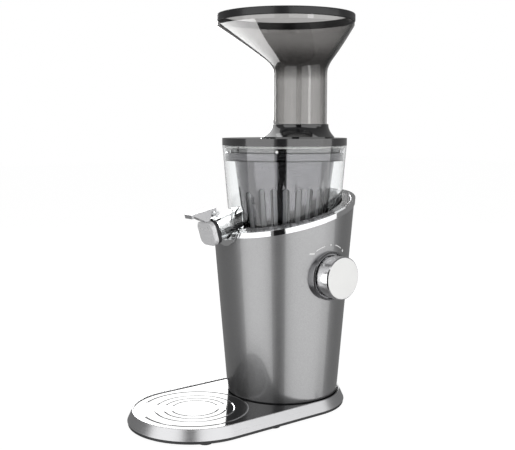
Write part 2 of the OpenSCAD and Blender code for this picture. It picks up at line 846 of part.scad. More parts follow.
module gearbox_cover() color("#a4a7ab") difference() {
  union() {
    lobe_plan(box_wall, box_top, cover_h);
    translate([0, 0, box_top]) for (b = boss_places) translate(boss_place(b))
      cylinder(r = boss_r, h = cover_h);
    translate([0, 0, box_top - gear_space / 2]) cylinder(r = bearing_tube_r, h = well_floor_z - box_top);
  }
  translate([0, 0, box_top - gear_space]) cylinder(r = bearing_lip_r, h = reach);
  translate([0, 0, box_top]) cylinder(r = bearing_r + running_gap, h = reach);
  for (p = [idler_one, idler_two]) translate([p[0], p[1], box_top - over])
    cylinder(r = idler_pin_r + seat_gap / 2, h = pin_seat_h + over);
  for (b = boss_places) translate(boss_place(b)) cylinder(r = screw_r + seat_gap, h = reach);
}

module gearbox_screws() color("#7f8286") for (b = boss_places) translate(boss_place(b))
  translate([0, 0, box_top - boss_h - screw_head_h])
    screw_up(screw_head_r, screw_r - running_gap, screw_head_h, boss_h + cover_h + 3.5 * screw_head_h);

module drive_bearings() color("#b9bcc0") for (k = [0, 1])
  translate([0, 0, box_top + k * (bearing_h + running_gap)])
    ring(drive_r + running_gap, bearing_r, bearing_h);

module idler_pins() color("#b2b5b9") for (p = [idler_one, idler_two])
  translate([p[0], p[1], box_z + box_floor_h - pin_seat_h])
    cylinder(r = idler_pin_r, h = box_top + 2 * pin_seat_h - box_z - box_floor_h - seat_gap);

// Outline of a gear with teeth on an involute, the first tooth pointing along X
function roll(base, r) = r <= base ? 0 : sqrt(pow(r / base, 2) - 1) * 180 / PI;
function unwound(base, r) = roll(base, r) - atan(roll(base, r) * PI / 180);
function half_tooth(m, teeth, r) = let (base = m * teeth / 2 * cos(pressure_angle))
  (PI * m / 2 - backlash) / (m * teeth) * 180 / PI + unwound(base, m * teeth / 2) - unwound(base, r);
function polar(r, a) = r * [cos(a), sin(a)];
function gear_outline(m, teeth) = let (root = m * (teeth / 2 - dedendum_share), tip = outer_tip(teeth, m),
    low = max(root, m * teeth / 2 * cos(pressure_angle)), last = len(flank_shares) - 1)
  [for (k = [0:teeth - 1]) let (turn = 360 * k / teeth) each concat(
    [polar(root, turn - half_tooth(m, teeth, low))],
    [for (s = flank_shares) let (r = low + s * (tip - low)) polar(r, turn - half_tooth(m, teeth, r))],
    [for (i = [last:-1:0]) let (r = low + flank_shares[i] * (tip - low))
      polar(r, turn + half_tooth(m, teeth, r))],
    [polar(root, turn + half_tooth(m, teeth, low))])];

module gear(m, teeth, h, turn, bore) rotate([0, 0, turn]) difference() {
  linear_extrude(h) polygon(gear_outline(m, teeth));
  translate([0, 0, -over]) cylinder(r = bore, h = h + 2 * over);
}

// Takes the two faces of a wheel back between hub and rim
module web_cut(m, teeth, h, bore) for (z = [-over, h / 2 + web_h / 2]) translate([0, 0, z])
  ring(bore + web_hub, m * teeth / 2 - web_rim, h / 2 - web_h / 2 + over);

module reduction_gear_one() color("#d8c9a6") translate([idler_one[0], idler_one[1], 0]) union() {
  translate([0, 0, stage_one_z]) difference() {
    gear(module_one, wheel_one_teeth, stage_one_h, idler_one_turn - 180 + 180 / wheel_one_teeth,
      idler_pin_r + running_gap);
    web_cut(module_one, wheel_one_teeth, stage_one_h, outer_tip(pinion_teeth, module_two));
  }
  translate([0, 0, stage_one_z + stage_one_h / 2])
    gear(module_two, pinion_teeth, stage_one_h / 2 + stage_two_h + stage_gap, stage_two_turn,
      idler_pin_r + running_gap);
}

module reduction_gear_two() color("#d2c29c") translate([idler_two[0], idler_two[1], 0]) union() {
  translate([0, 0, stage_two_z]) difference() {
    gear(module_two, wheel_two_teeth, stage_two_h, stage_two_turn + 180 + 180 / wheel_two_teeth,
      idler_pin_r + running_gap);
    web_cut(module_two, wheel_two_teeth, stage_two_h, outer_tip(pinion_teeth, module_three));
  }
  translate([0, 0, stage_two_z + stage_two_h / 2])
    gear(module_three, pinion_teeth, stage_two_h / 2 + stage_three_h + stage_gap, idler_two_turn + 180,
      idler_pin_r + running_gap);
}

module output_gear() color("#b08d57") translate([0, 0, stage_three_z]) difference() {
  gear(module_three, output_teeth, stage_three_h, idler_two_turn + 180 / output_teeth, drive_r);
  web_cut(module_three, output_teeth, stage_three_h, drive_r + web_land);
}

module drive_shaft() color("#c4c7cb") {
  translate([0, 0, stage_three_z - gear_space / 2])
    cylinder(r = drive_r - running_gap / 5, h = well_floor_top + chimney_h - stage_three_z + gear_space / 2);
  translate([0, 0, well_floor_top + chimney_h])
    cylinder(d = drive_flats / cos(30), h = drive_top - well_floor_top - chimney_h, $fn = 6);
}

// Motor

module at_motor_screws() for (a = screw_angles)
  translate([motor_screw_ring_r * cos(a), motor_screw_ring_r * sin(a), 0]) children();

module motor_can() color("#5d6064") difference() {
  translate([0, 0, can_z]) cylinder(r = motor_r, h = motor_can_h);
  difference() {
    translate([0, 0, can_z - over]) cylinder(r = motor_r - can_wall, h = motor_can_h - can_top_h + over);
    translate([0, 0, motor_top - can_top_h - motor_bearing_h])
      cylinder(r = motor_bearing_r + bearing_hub_wall, h = motor_bearing_h + can_top_h);
  }
  translate([0, 0, motor_top - can_top_h - motor_bearing_h - over])
    cylinder(r = motor_bearing_r + running_gap, h = motor_bearing_h + over);
  cylinder(r = motor_hole_r, h = reach);
  at_motor_screws() cylinder(r = screw_r, h = reach);
}

module motor_end_cap() color("#3f4144") difference() {
  translate([0, 0, can_z - end_cap_h]) {
    cylinder(r = motor_r, h = end_cap_h);
    ring(motor_bearing_r + running_gap, motor_bearing_r + bearing_hub_wall, end_cap_h + bearing_hub_wall);
  }
  translate([0, 0, can_z - end_cap_h + bearing_hub_wall]) difference() {
    cylinder(r = motor_r - 2 * can_wall, h = reach);
    ring(motor_bearing_r + running_gap, motor_bearing_r + bearing_hub_wall, end_cap_h);
  }
  translate([0, 0, can_z - end_cap_h - over]) cylinder(r = motor_hole_r, h = reach);
  for (a = [0:60:300]) rotate([0, 0, a]) translate([(motor_r + motor_bearing_r) / 2, 0, 0])
    cylinder(r = motor_r / 7, h = reach);
}

module motor_stator() color("#74777b") difference() {
  translate([0, 0, stator_z]) ring(stator_bore_r, motor_r - can_wall - running_gap, stator_h);
  for (k = [0:stator_slots - 1]) rotate([0, 0, 360 * k / stator_slots]) {
    translate([stator_bore_r + 2 * slot_hole_r, 0, 0]) cylinder(r = slot_hole_r, h = reach);
    translate([stator_bore_r - over, -slot_hole_r / 3, 0])
      cube([2 * slot_hole_r, 2 * slot_hole_r / 3, reach]);
  }
}

module motor_windings() color("#b5651d") for (z = [stator_z - winding_r, stator_z + stator_h + winding_r])
  translate([0, 0, z]) rotate_extrude() translate([stator_bore_r + 2 * slot_hole_r, 0]) circle(r = winding_r);

module motor_bearings() color("#b9bcc0") {
  for (z = [motor_top - can_top_h - motor_bearing_h, can_z - end_cap_h + bearing_hub_wall])
    translate([0, 0, z]) ring(motor_shaft_r + running_gap, motor_bearing_r, motor_bearing_h);
}

module motor_screws() color("#7f8286") at_motor_screws()
  translate([0, 0, box_z + box_floor_h]) rotate([180, 0, 0])
    screw_up(screw_head_r, screw_r - running_gap, screw_head_h, box_floor_h + can_top_h + screw_head_h);

module motor_shaft() color("#c4c7cb") {
  translate([0, 0, fan_z]) cylinder(r = motor_shaft_r, h = motor_top + box_floor_h - fan_z);
  translate([0, 0, motor_top + box_floor_h])
    cylinder(r = pinion_shaft_r, h = gear_space + stage_one_h);
}

module rotor_core() color("#808387") translate([0, 0, stator_z])
  ring(motor_shaft_r, stator_bore_r - air_gap, stator_h);

module motor_pinion() color("#b08d57") translate([0, 0, stage_one_z])
  gear(module_one, pinion_teeth, stage_one_h, idler_one_turn, pinion_shaft_r);

module cooling_fan() color("#303236") translate([0, 0, fan_z]) {
  ring(motor_shaft_r, fan_hub_r, fan_h);
  translate([0, 0, fan_h - fan_plate_h]) ring(fan_hub_r, fan_r, fan_plate_h);
  for (k = [0:fan_blades - 1]) rotate([0, 0, 360 * k / fan_blades])
    translate([fan_hub_r - over, -fan_blade_w / 2, 0])
      cube([fan_r - fan_hub_r, fan_blade_w, fan_h - fan_plate_h + over]);
}

// Electrics

module control_board() color("#2f6b3c") translate([board_x, -board_w / 2, board_z])
  cube([board_h, board_w, board_top - board_z]);

module board_parts() color("#33383f") translate([board_x + board_h, 0, board_z]) {
  for (s = [-1, 1]) translate([0, s * board_w / 4, (board_top - board_z) / 2]) rotate([0, 90, 0])
    cylinder(r = cap_part_r, h = cap_part_h);
  translate([0, -relay_w / 2, (board_top - board_z) * 0.7]) cube([relay_h, relay_w, relay_w]);
  translate([0, -relay_w / 2, (board_top - board_z) / 4]) cube([relay_h / 2, relay_w, relay_h]);
}

module reed_switch() color("#2b2d31")
  translate([bowl_r(reed_z + reed_h) + bowl_gap + well_wall + seat_gap, -reed_w / 2, reed_z])
    cube([reed_depth, reed_w, reed_h]);

module rotary_switch() color("#3a3c40") difference() {
  union() {
    at_knob(switch_q) translate([-switch_w / 2, -switch_w / 2, 0]) cube([switch_w, switch_w, switch_h]);
    at_knob(switch_q + switch_h) cylinder(r = switch_bush_r, h = switch_bush_h);
  }
  at_knob(switch_q + switch_h / 3) cylinder(r = shaft_r + running_gap, h = reach);
}

module switch_nut() color("#b9bcc0") difference() {
  at_knob(bezel_back_q + bezel_back_h) cylinder(d = nut_flats / cos(30), h = nut_h, $fn = 6);
  at_knob(bezel_back_q) cylinder(r = switch_bush_r + running_gap, h = reach);
}

// Knob

module knob_bezel() color("#55575b") {
  difference() {
    at_knob(0) rotate_extrude() polygon([[bezel_neck_r + bezel_neck_wall, bezel_back_q],
      [bezel_r, bezel_back_q], [bezel_r, bezel_front - bezel_edge], [bezel_r - bezel_edge, bezel_front],
      [knob_r + bezel_edge / 2, bezel_floor_q], [bezel_neck_r + bezel_neck_wall, bezel_floor_q]]);
    body_cone(seat_gap, body_z, knob_z + 2 * bezel_r);
  }
  at_knob(0) rotate_extrude() polygon([[bezel_hole_r, bezel_back_q],
    [bezel_neck_r + bezel_neck_wall, bezel_back_q], [bezel_neck_r + bezel_neck_wall, bezel_floor_q],
    [bezel_neck_r, bezel_floor_q], [bezel_neck_r, bezel_back_q + bezel_back_h],
    [bezel_hole_r, bezel_back_q + bezel_back_h]]);
}

module knob_body() color("#dfe0e2") at_knob(0) rotate_extrude() polygon([
  [shaft_r, knob_back_q - nut_h], [knob_hub_r, knob_back_q - nut_h],
  [knob_hub_r, knob_front - 2 * knob_wall], [knob_r - knob_wall, knob_front - 2 * knob_wall],
  [knob_r - knob_wall, knob_back_q], [knob_r, knob_back_q], [knob_r, knob_groove_q],
  [knob_r - knob_groove, knob_groove_q], [knob_r - knob_groove, knob_groove_q + knob_groove_h],
  [knob_r, knob_groove_q + knob_groove_h], [knob_r, knob_front - knob_edge], [knob_r - knob_edge, knob_front],
  [face_r + running_gap, knob_front], [face_r + running_gap, knob_front - face_h],
  [0, knob_front - face_h], [0, knob_front - knob_wall], [shaft_r, knob_front - knob_wall]]);

module knob_face() color("#f4f4f2") at_knob(knob_front - face_h) cylinder(r = face_r, h = face_h);

module knob_shaft() color("#a7aaae") difference() {
  at_knob(switch_q + switch_h / 2)
    cylinder(r = shaft_r - running_gap / 5, h = knob_front - knob_wall - switch_q - switch_h / 2);
  at_knob(knob_back_q) translate([shaft_r - shaft_flat, -shaft_r, 0]) cube([shaft_r, 2 * shaft_r, reach]);
}

// Bowl

module spout_tube() {
  translate([0, 0, -spout_reach + bowl_foot_r - 2 * bowl_wall])
    cylinder(r = spout_r, h = spout_reach - bowl_foot_r + 2 * bowl_wall);
  translate([0, 0, -spout_lip_h]) cylinder(r = spout_lip_r, h = spout_lip_h);
}

module juice_bowl() color("#dfe6e8", 0.35) difference() {
  union() {
    bowl_cone(0, bowl_floor_z, bowl_top);
    translate([0, 0, well_floor_top + loose_gap])
      ring(bowl_foot_r - 3 * bowl_wall, bowl_r(well_floor_top), bowl_floor_z - well_floor_top);
    at_spout() spout_tube();
    at_pulp() translate([0, 0, -pulp_reach + bowl_foot_r - 4 * bowl_wall])
      cylinder(r = pulp_r, h = pulp_reach - bowl_foot_r + 4 * bowl_wall);
    hinge_ears();
  }
  difference() {
    union() {
      bowl_cone(-bowl_wall, bowl_floor_top, step_z + over);
      bowl_cone(-rim_wall, step_z, bowl_top + over);
    }
    cylinder(r = tube_r, h = tube_top);
    bayonet_tabs();
  }
  cylinder(r = tube_bore_r, h = reach);
  at_spout() translate([0, 0, -spout_reach + bowl_foot_r / 2]) cylinder(r = spout_bore_r, h = reach);
  at_pulp() translate([0, 0, -pulp_reach + bowl_foot_r / 2]) cylinder(r = pulp_bore_r, h = reach);
  translate([bowl_foot_r - 1.5 * bowl_wall - magnet_r / 3, 0, bowl_floor_z - magnet_h - bowl_wall])
    cylinder(r = magnet_r + seat_gap, h = magnet_h + bowl_wall / 2);
}

// Tabs inside the bowl rim that hold the lugs of the lid down
module bayonet_tabs() for (k = [0:lug_count - 1])
  rotate([0, 0, lug_turn + 360 * k / lug_count - tab_sweep / 2]) rotate_extrude(angle = tab_sweep)
    translate([tab_r, tab_z]) square([bowl_r(tab_z) - rim_wall / 2 - tab_r, bayonet_h]);

module hinge_ears() at_spout() for (s = [-1, 1]) difference() {
  translate([0, s * (knuckle_w / 2 + ear_gap + ear_w / 2) - ear_w / 2, -hinge_back - knuckle_r])
    linear_ear();
  at_cap_hinge() cylinder(r = hinge_pin_r, h = knuckle_w + 4 * ear_w, center = true);
}

module linear_ear() {
  cube([hinge_up, ear_w, 2 * knuckle_r]);
  translate([hinge_up, 0, knuckle_r]) rotate([-90, 0, 0]) cylinder(r = knuckle_r, h = ear_w);
}

module bowl_foot_seal() color("#3a3c40") translate([0, 0, bowl_floor_z - 2 * bowl_wall])
  ring(drive_r + chimney_wall + 2 * running_gap + loose_gap, tube_bore_r + bowl_wall, 2 * bowl_wall);

module bowl_magnet() color("#8f9296")
  translate([bowl_foot_r - 1.5 * bowl_wall - magnet_r / 3, 0, bowl_floor_z - magnet_h - bowl_wall / 2])
    cylinder(r = magnet_r, h = magnet_h);

module cap_hinge_pin() color("#b9bcc0") at_spout() at_cap_hinge()
  cylinder(r = hinge_pin_r - running_gap, h = knuckle_w + 2 * ear_gap + 2 * ear_w, center = true);

// Strainers

module strainer_cone(grow, z0, z1) {
  translate([0, 0, z0]) cylinder(r1 = strainer_r(z0) + grow, r2 = strainer_r(z1) + grow, h = z1 - z0);
}

module outer_strainer() color("#5a5b5e", 0.8) difference() {
  union() {
    strainer_cone(0, strainer_z, step_z + flange_h);
    translate([0, 0, step_z + loose_gap / 3]) cylinder(r = flange_r, h = flange_h - loose_gap / 3);
    translate([0, 0, step_z + flange_h / 2])
      ring(flange_r - flange_rim_w, flange_r, flange_rim_h - flange_h / 2);
  }
  strainer_cone(-strainer_wall, strainer_z + strainer_floor_h, step_z + flange_h + over);
  translate([0, 0, strainer_z - over])
    cylinder(r = auger_core_r + auger_gap, h = strainer_floor_h + 2 * over);
  for (k = [0:strainer_slots - 1]) let (a = 360 * (k + 0.5) / strainer_slots)
    if (abs(a - 90) > pulp_window_turn && abs(a - 180) > arch_turn)
      rotate([0, 0, a]) upright_slot(slot_w, slot_z, slot_top);
  rotate([0, 0, 180]) upright_slot(arch_w, slot_z - over, arch_top);
  rotate([0, 0, 90]) upright_slot(pulp_window_w, slot_z - over, slot_z + pulp_window_h);
}

// A slot through the wall at +X with a round head
module upright_slot(w, z0, z1) {
  translate([auger_core_r, -w / 2, z0]) cube([auger_core_r, w, z1 - z0 - w / 2]);
  translate([auger_core_r, 0, z1 - w / 2]) rotate([0, 90, 0]) cylinder(r = w / 2, h = auger_core_r);
}

module inner_strainer() color("#6b6c70", 0.9) difference() {
  translate([0, 0, inner_z])
    cylinder(r1 = inner_r(inner_z), r2 = inner_r(inner_top), h = inner_top - inner_z);
  translate([0, 0, inner_z - over]) cylinder(r1 = inner_r(inner_z - over) - inner_wall,
    r2 = inner_r(inner_top + over) - inner_wall, h = inner_top - inner_z + 2 * over);
  for (k = [0:inner_slots - 1]) let (a = 360 * (k + 0.5) / inner_slots)
    if (abs(a - 90) > pulp_window_turn) rotate([0, 0, a]) translate([auger_core_r, -inner_slot_w / 2, slot_z])
      cube([auger_core_r, inner_slot_w, slot_top - slot_z]);
  rotate([0, 0, 90]) upright_slot(pulp_window_w, slot_z - over, slot_z + pulp_window_h);
}

// Auger

function auger_tip_r(z) = inner_r(z) - inner_wall - auger_gap;
function flight_fade(t) = min(1, (1 - t) / flight_runout);
function auger_row(t) = let (z = auger_z + t * (auger_top - auger_z), turn = 360 * auger_turns * t,
    core = auger_core_r * lookup(t, core_shares), depth = flight_fade(t) * max(0, auger_tip_r(z) - core))
  [for (k = [0:flight_count - 1], f = flight_shares)
    let (a = turn + 360 * (k + f[0]) / flight_count, r = core + f[1] * depth) [r * cos(a), r * sin(a), z]];

module auger() color("#2c2d31") difference() {
  union() {
    skin([for (i = [0:auger_rows]) auger_row(i / auger_rows)]);
    translate([0, 0, auger_top - over]) cylinder(r = pin_r, h = pin_top - auger_top + over);
  }
  translate([0, 0, auger_z - over]) cylinder(r = hub_pocket_r, h = hub_pocket_h + over);
  translate([0, 0, auger_z + hub_pocket_h - over]) cylinder(r = hub_r, h = hub_h + over);
}

module auger_hub() color("#a9acb0") difference() {
  translate([0, 0, auger_z + hub_pocket_h])
    cylinder(r = hub_r - running_gap / 5, h = hub_h - running_gap / 5);
  translate([0, 0, auger_z]) cylinder(d = (drive_flats + 2 * running_gap) / cos(30),
    h = drive_top - auger_z + 2 * running_gap, $fn = 6);
}

// Spout cap

// A slab with round corners, standing on the mouth plane
module cap_plan(grow, h) {
  x = cap_h / 2 - cap_corner_r;
  y = cap_w / 2 - cap_corner_r;
  for (i = [-1, 1], j = [-1, 1]) translate([i * x, j * y, 0]) cylinder(r = cap_corner_r + grow, h = h);
  translate([-x, -cap_w / 2 - grow, 0]) cube([2 * x, cap_w + 2 * grow, h]);
  translate([-cap_h / 2 - grow, -y, 0]) cube([cap_h + 2 * grow, 2 * y, h]);
}

module cap_seal() color("#1d1e20") at_spout() {
  translate([0, 0, loose_gap]) cap_plan(0, cap_seal_h);
  translate([0, 0, -plug_h]) cylinder(r = spout_bore_r - plug_gap, h = plug_h + loose_gap);
}

module spout_cap() color("#b9bbbe") at_spout() translate([0, 0, loose_gap + cap_seal_h]) {
  cap_plan(0, cap_plate_h - foot_edge);
  translate([0, 0, cap_plate_h - foot_edge]) cap_plan(-foot_edge, foot_edge);
}

// Side view of the lever: up is X, out of the spout is Z
module lever_side(w, points) rotate([90, 0, 0]) linear_extrude(w, center = true) polygon(points);

module at_cap_hinge() translate([hinge_up, 0, -hinge_back]) rotate([90, 0, 0]) children();

module cap_lever() color("#9fa1a4") at_spout() difference() {
  union() {
    at_cap_hinge() cylinder(r = knuckle_r, h = knuckle_w, center = true);
    lever_side(knuckle_w, [[hinge_up, -hinge_back - knuckle_r],
      [tab_rise - tab_h / 2, -hinge_back - knuckle_r / 2],
      [tab_rise - tab_h / 2, hinge_back], [hinge_up, knuckle_r - hinge_back]]);
    lever_side(lever_w, [[tab_rise, -hinge_back - knuckle_r / 2], [tab_end_rise, tab_reach],
      [tab_end_rise - tab_h - tip_drop, tab_reach], [tab_end_rise - tab_h - tip_drop, tab_reach - tip_w],
      [tab_end_rise - tab_h, tab_reach - tip_w], [cap_h / 2 + seat_gap, cap_front - foot_edge],
      [cap_h / 2 + seat_gap, loose_gap + cap_seal_h + foot_edge], [tab_rise - tab_h, -wedge_back],
      [tab_rise - tab_h, -hinge_back - knuckle_r / 2]]);
  }
  at_cap_hinge() cylinder(r = hinge_pin_r, h = knuckle_w + 2 * over, center = true);
}

// Lid

module lid_plate() color("#3d3e41") difference() {
  union() {
    translate([0, 0, lid_z]) cylinder(r = lid_r, h = lid_h);
    translate([0, 0, lid_z - skirt_h]) cylinder(r = skirt_r, h = skirt_h);
    for (k = [0:lug_count - 1]) rotate([0, 0, lug_turn + 360 * k / lug_count - lug_sweep / 2])
      rotate_extrude(angle = lug_sweep) translate([skirt_r - over, lid_z - skirt_h])
        square([lug_w + over, lug_h]);
    translate([0, 0, lid_bush_z]) cylinder(r = lid_bush_r, h = lid_top - lid_bush_z);
  }
  translate([0, 0, lid_z - lid_seal_h - foot_edge]) ring(skirt_r - lid_seal_w, skirt_r + over, lid_seal_h);
  difference() {
    translate([0, 0, lid_z - skirt_h - over]) cylinder(r = skirt_r - skirt_w, h = skirt_h + over + lid_h / 2);
    translate([0, 0, lid_bush_z]) {
      cylinder(r = lid_bush_r, h = reach);
      translate([-lid_r, -arm_w / 2, 0]) cube([lid_r, arm_w, reach]);
    }
  }
  difference() {
    translate([chute_x, 0, 0]) cylinder(r = feed_r, h = reach + lid_z);
    cylinder(r = lid_bush_r, h = lid_top);
    translate([-lid_r, -arm_w / 2, 0]) cube([lid_r, arm_w, lid_top]);
  }
  translate([0, 0, lid_bush_z - over])
    cylinder(r = pin_r + bush_wall / 2, h = pin_top - lid_bush_z + 3 * over);
}

module lid_bush() color("#c8c9cb") translate([0, 0, lid_bush_z]) difference() {
  cylinder(r = pin_r + bush_wall / 2 - running_gap / 5, h = pin_top - lid_bush_z + 2 * over);
  translate([0, 0, -over]) cylinder(r = pin_r + running_gap, h = pin_top - lid_bush_z + over + loose_gap);
}

module lid_seal() color("#d9dadb") translate([0, 0, lid_z - lid_seal_h - foot_edge])
  ring(skirt_r - lid_seal_w, skirt_r + loose_gap, lid_seal_h);

function neck_flare(t) = pow(1 - t, neck_bend);
module lid_neck() color("#17181a") difference() {
  skin(concat([ring_points(neck_foot_x, neck_foot_r, lid_top, facets)],
    [for (i = [0:neck_rows]) let (t = i / neck_rows, f = neck_flare(t))
      ring_points(chute_x + f * (neck_foot_x - chute_x), neck_r + f * (neck_foot_r - neck_r),
        lid_top + neck_foot_h + t * (neck_top - lid_top - neck_foot_h), facets)]));
  translate([chute_x, 0, lid_top - over]) cylinder(r = feed_r, h = reach);
  translate([chute_x, 0, neck_top - socket_h]) cylinder(r = chute_r + loose_gap, h = reach);
}

// Hopper

function funnel_r(g) = chute_r + g * (mouth_r - chute_r);
function funnel_x(g) = chute_x + pow(g, funnel_bend) * (hopper_x - chute_x);
function funnel_row(s, wall) = let (g = lookup(s, funnel_shares))
  ring_points(funnel_x(g), funnel_r(g) - wall, funnel_z + s * (funnel_top - funnel_z), facets);

module hopper() color("#55534f", 0.7) shell_skin(concat(
  [ring_points(chute_x, chute_r, neck_top - socket_h + loose_gap, facets)],
  [for (s = funnel_shares) funnel_row(s[0], 0)],
  [for (wall = [0, chute_wall]) ring_points(hopper_x, mouth_r - wall, mouth_z, facets)],
  [for (i = [len(funnel_shares) - 1:-1:0]) funnel_row(funnel_shares[i][0], chute_wall)],
  [ring_points(chute_x, chute_r - chute_wall, neck_top - socket_h + loose_gap, facets)]));

module hopper_rim() color("#1b1b1d") translate([hopper_x, 0, mouth_z]) rotate_extrude() polygon([
  [mouth_r - chute_wall, 0], [hopper_r - foot_edge, 0], [hopper_r, foot_edge],
  [hopper_r, hopper_rim_h - foot_edge],
  [hopper_r - foot_edge, hopper_rim_h], [hopper_r - hopper_rim_w, hopper_rim_h],
  [mouth_r - chute_wall, hopper_rim_h / 2]]);

feet();
base_pan();
base_rim();
base_deck();
base_screws();
body_floor();
body_shell();
collar_ring();
body_well();
shaft_seal();
gearbox_housing();
gearbox_cover();
gearbox_screws();
drive_bearings();
idler_pins();
motor_can();
motor_end_cap();
motor_stator();
motor_windings();
motor_bearings();
motor_screws();
control_board();
board_parts();
rotary_switch();
switch_nut();
knob_bezel();
reed_switch();
cord_bush();
drive_shaft();
output_gear();
reduction_gear_one();
reduction_gear_two();
motor_shaft();
rotor_core();
motor_pinion();
cooling_fan();
knob_body();
knob_face();
knob_shaft();
juice_bowl();
bowl_foot_seal();
bowl_magnet();
outer_strainer();
inner_strainer();
cap_hinge_pin();
spout_cap();
cap_seal();
cap_lever();
auger();
auger_hub();
lid_plate();
lid_neck();
lid_seal();
lid_bush();
hopper();
hopper_rim();
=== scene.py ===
import json
import math

import bmesh
import bpy
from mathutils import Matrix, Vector


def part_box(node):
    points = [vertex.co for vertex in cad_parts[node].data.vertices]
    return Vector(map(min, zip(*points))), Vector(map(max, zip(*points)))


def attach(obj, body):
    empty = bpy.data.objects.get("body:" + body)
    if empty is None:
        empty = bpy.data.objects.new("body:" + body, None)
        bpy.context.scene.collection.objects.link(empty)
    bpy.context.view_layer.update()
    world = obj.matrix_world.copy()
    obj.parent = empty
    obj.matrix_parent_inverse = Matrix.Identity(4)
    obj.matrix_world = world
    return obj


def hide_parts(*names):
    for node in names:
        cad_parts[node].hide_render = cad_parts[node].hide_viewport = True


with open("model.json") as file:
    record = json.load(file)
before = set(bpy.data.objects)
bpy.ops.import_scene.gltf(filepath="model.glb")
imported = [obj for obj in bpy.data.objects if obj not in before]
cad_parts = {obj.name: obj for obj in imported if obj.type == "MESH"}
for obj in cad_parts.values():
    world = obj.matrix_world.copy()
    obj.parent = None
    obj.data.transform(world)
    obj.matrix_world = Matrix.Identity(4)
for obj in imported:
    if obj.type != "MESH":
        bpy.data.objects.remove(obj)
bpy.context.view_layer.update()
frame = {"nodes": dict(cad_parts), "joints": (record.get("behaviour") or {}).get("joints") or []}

nodes = frame["nodes"]
print("frame loaded:", len(nodes), "nodes")


# Places, in millimetres: what the frame gives, and the cones of the bowl and the body

def boxOf(name):
    return [[1000 * v for v in end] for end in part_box(name)]


def axisOf(name):
    return next([1000 * v for v in joint["pos_m"]] for joint in frame["joints"] if joint["name"] == name)


knobX, knobY, knobZ = axisOf("knob_turn")
strainerTop = boxOf("outer_strainer")[1][2]
bowlTop = boxOf("juice_bowl")[1][2]
bowlCone = {"height": 106.6, "footR": 64.4, "lean": 0.0845}  # lean: how much the radius grows with height
bodyCone = {"x": -2.6, "footR": 66.4, "lean": 0.082}
bowlFoot, bodyFoot = bowlTop - bowlCone["height"], boxOf("body_shell")[0][2]


# Node trees

class Reading:
    # a value in a node tree: each operator adds one Math node
    def __init__(self, maker, socket):
        self.maker, self.socket = maker, socket

    def math(self, operation, first, second=0.0):
        return self.maker.add("ShaderNodeMath", {"operation": operation}, {0: first, 1: second})

    def __add__(self, other):
        return self.math("ADD", self, other)

    def __radd__(self, other):
        return self.math("ADD", other, self)

    def __sub__(self, other):
        return self.math("SUBTRACT", self, other)

    def __rsub__(self, other):
        return self.math("SUBTRACT", other, self)

    def __mul__(self, other):
        return self.math("MULTIPLY", self, other)

    def __rmul__(self, other):
        return self.math("MULTIPLY", other, self)

    def __pow__(self, other):
        return self.math("POWER", self, other)

    def __abs__(self):
        return self.math("ABSOLUTE", self)

    def __gt__(self, other):
        return self.math("GREATER_THAN", self, other)


class Maker:
    # adds nodes to one tree
    def __init__(self, tree):
        self.tree = tree

    def add(self, kind, settings=None, sockets=None, output=0):
        node = self.tree.nodes.new(kind)
        for name, value in (settings or {}).items():
            setattr(node, name, value)
        for name, value in (sockets or {}).items():
            if isinstance(value, Reading):
                self.tree.links.new(value.socket, node.inputs[name])
            else:
                node.inputs[name].default_value = value
        return Reading(self, node.outputs[output]) if node.outputs else node

    def rays(self, first, second=None):
        # 1 for the kinds of ray that are named
        found = self.add("ShaderNodeLightPath", output=first)
        if second:
            found = found.math("MAXIMUM", found, self.add("ShaderNodeLightPath", output=second))
        return found

    def mixShaders(self, share, first, second):
        return self.add("ShaderNodeMixShader", {}, {0: share, 1: first, 2: second})

    def mixColors(self, share, first, second):
        return self.add("ShaderNodeMix", {"data_type": "RGBA"}, {0: share, 6: first, 7: second}, 2)

    def close(self, output, value):
        self.tree.links.new(value.socket, self.tree.nodes[output].inputs[0])


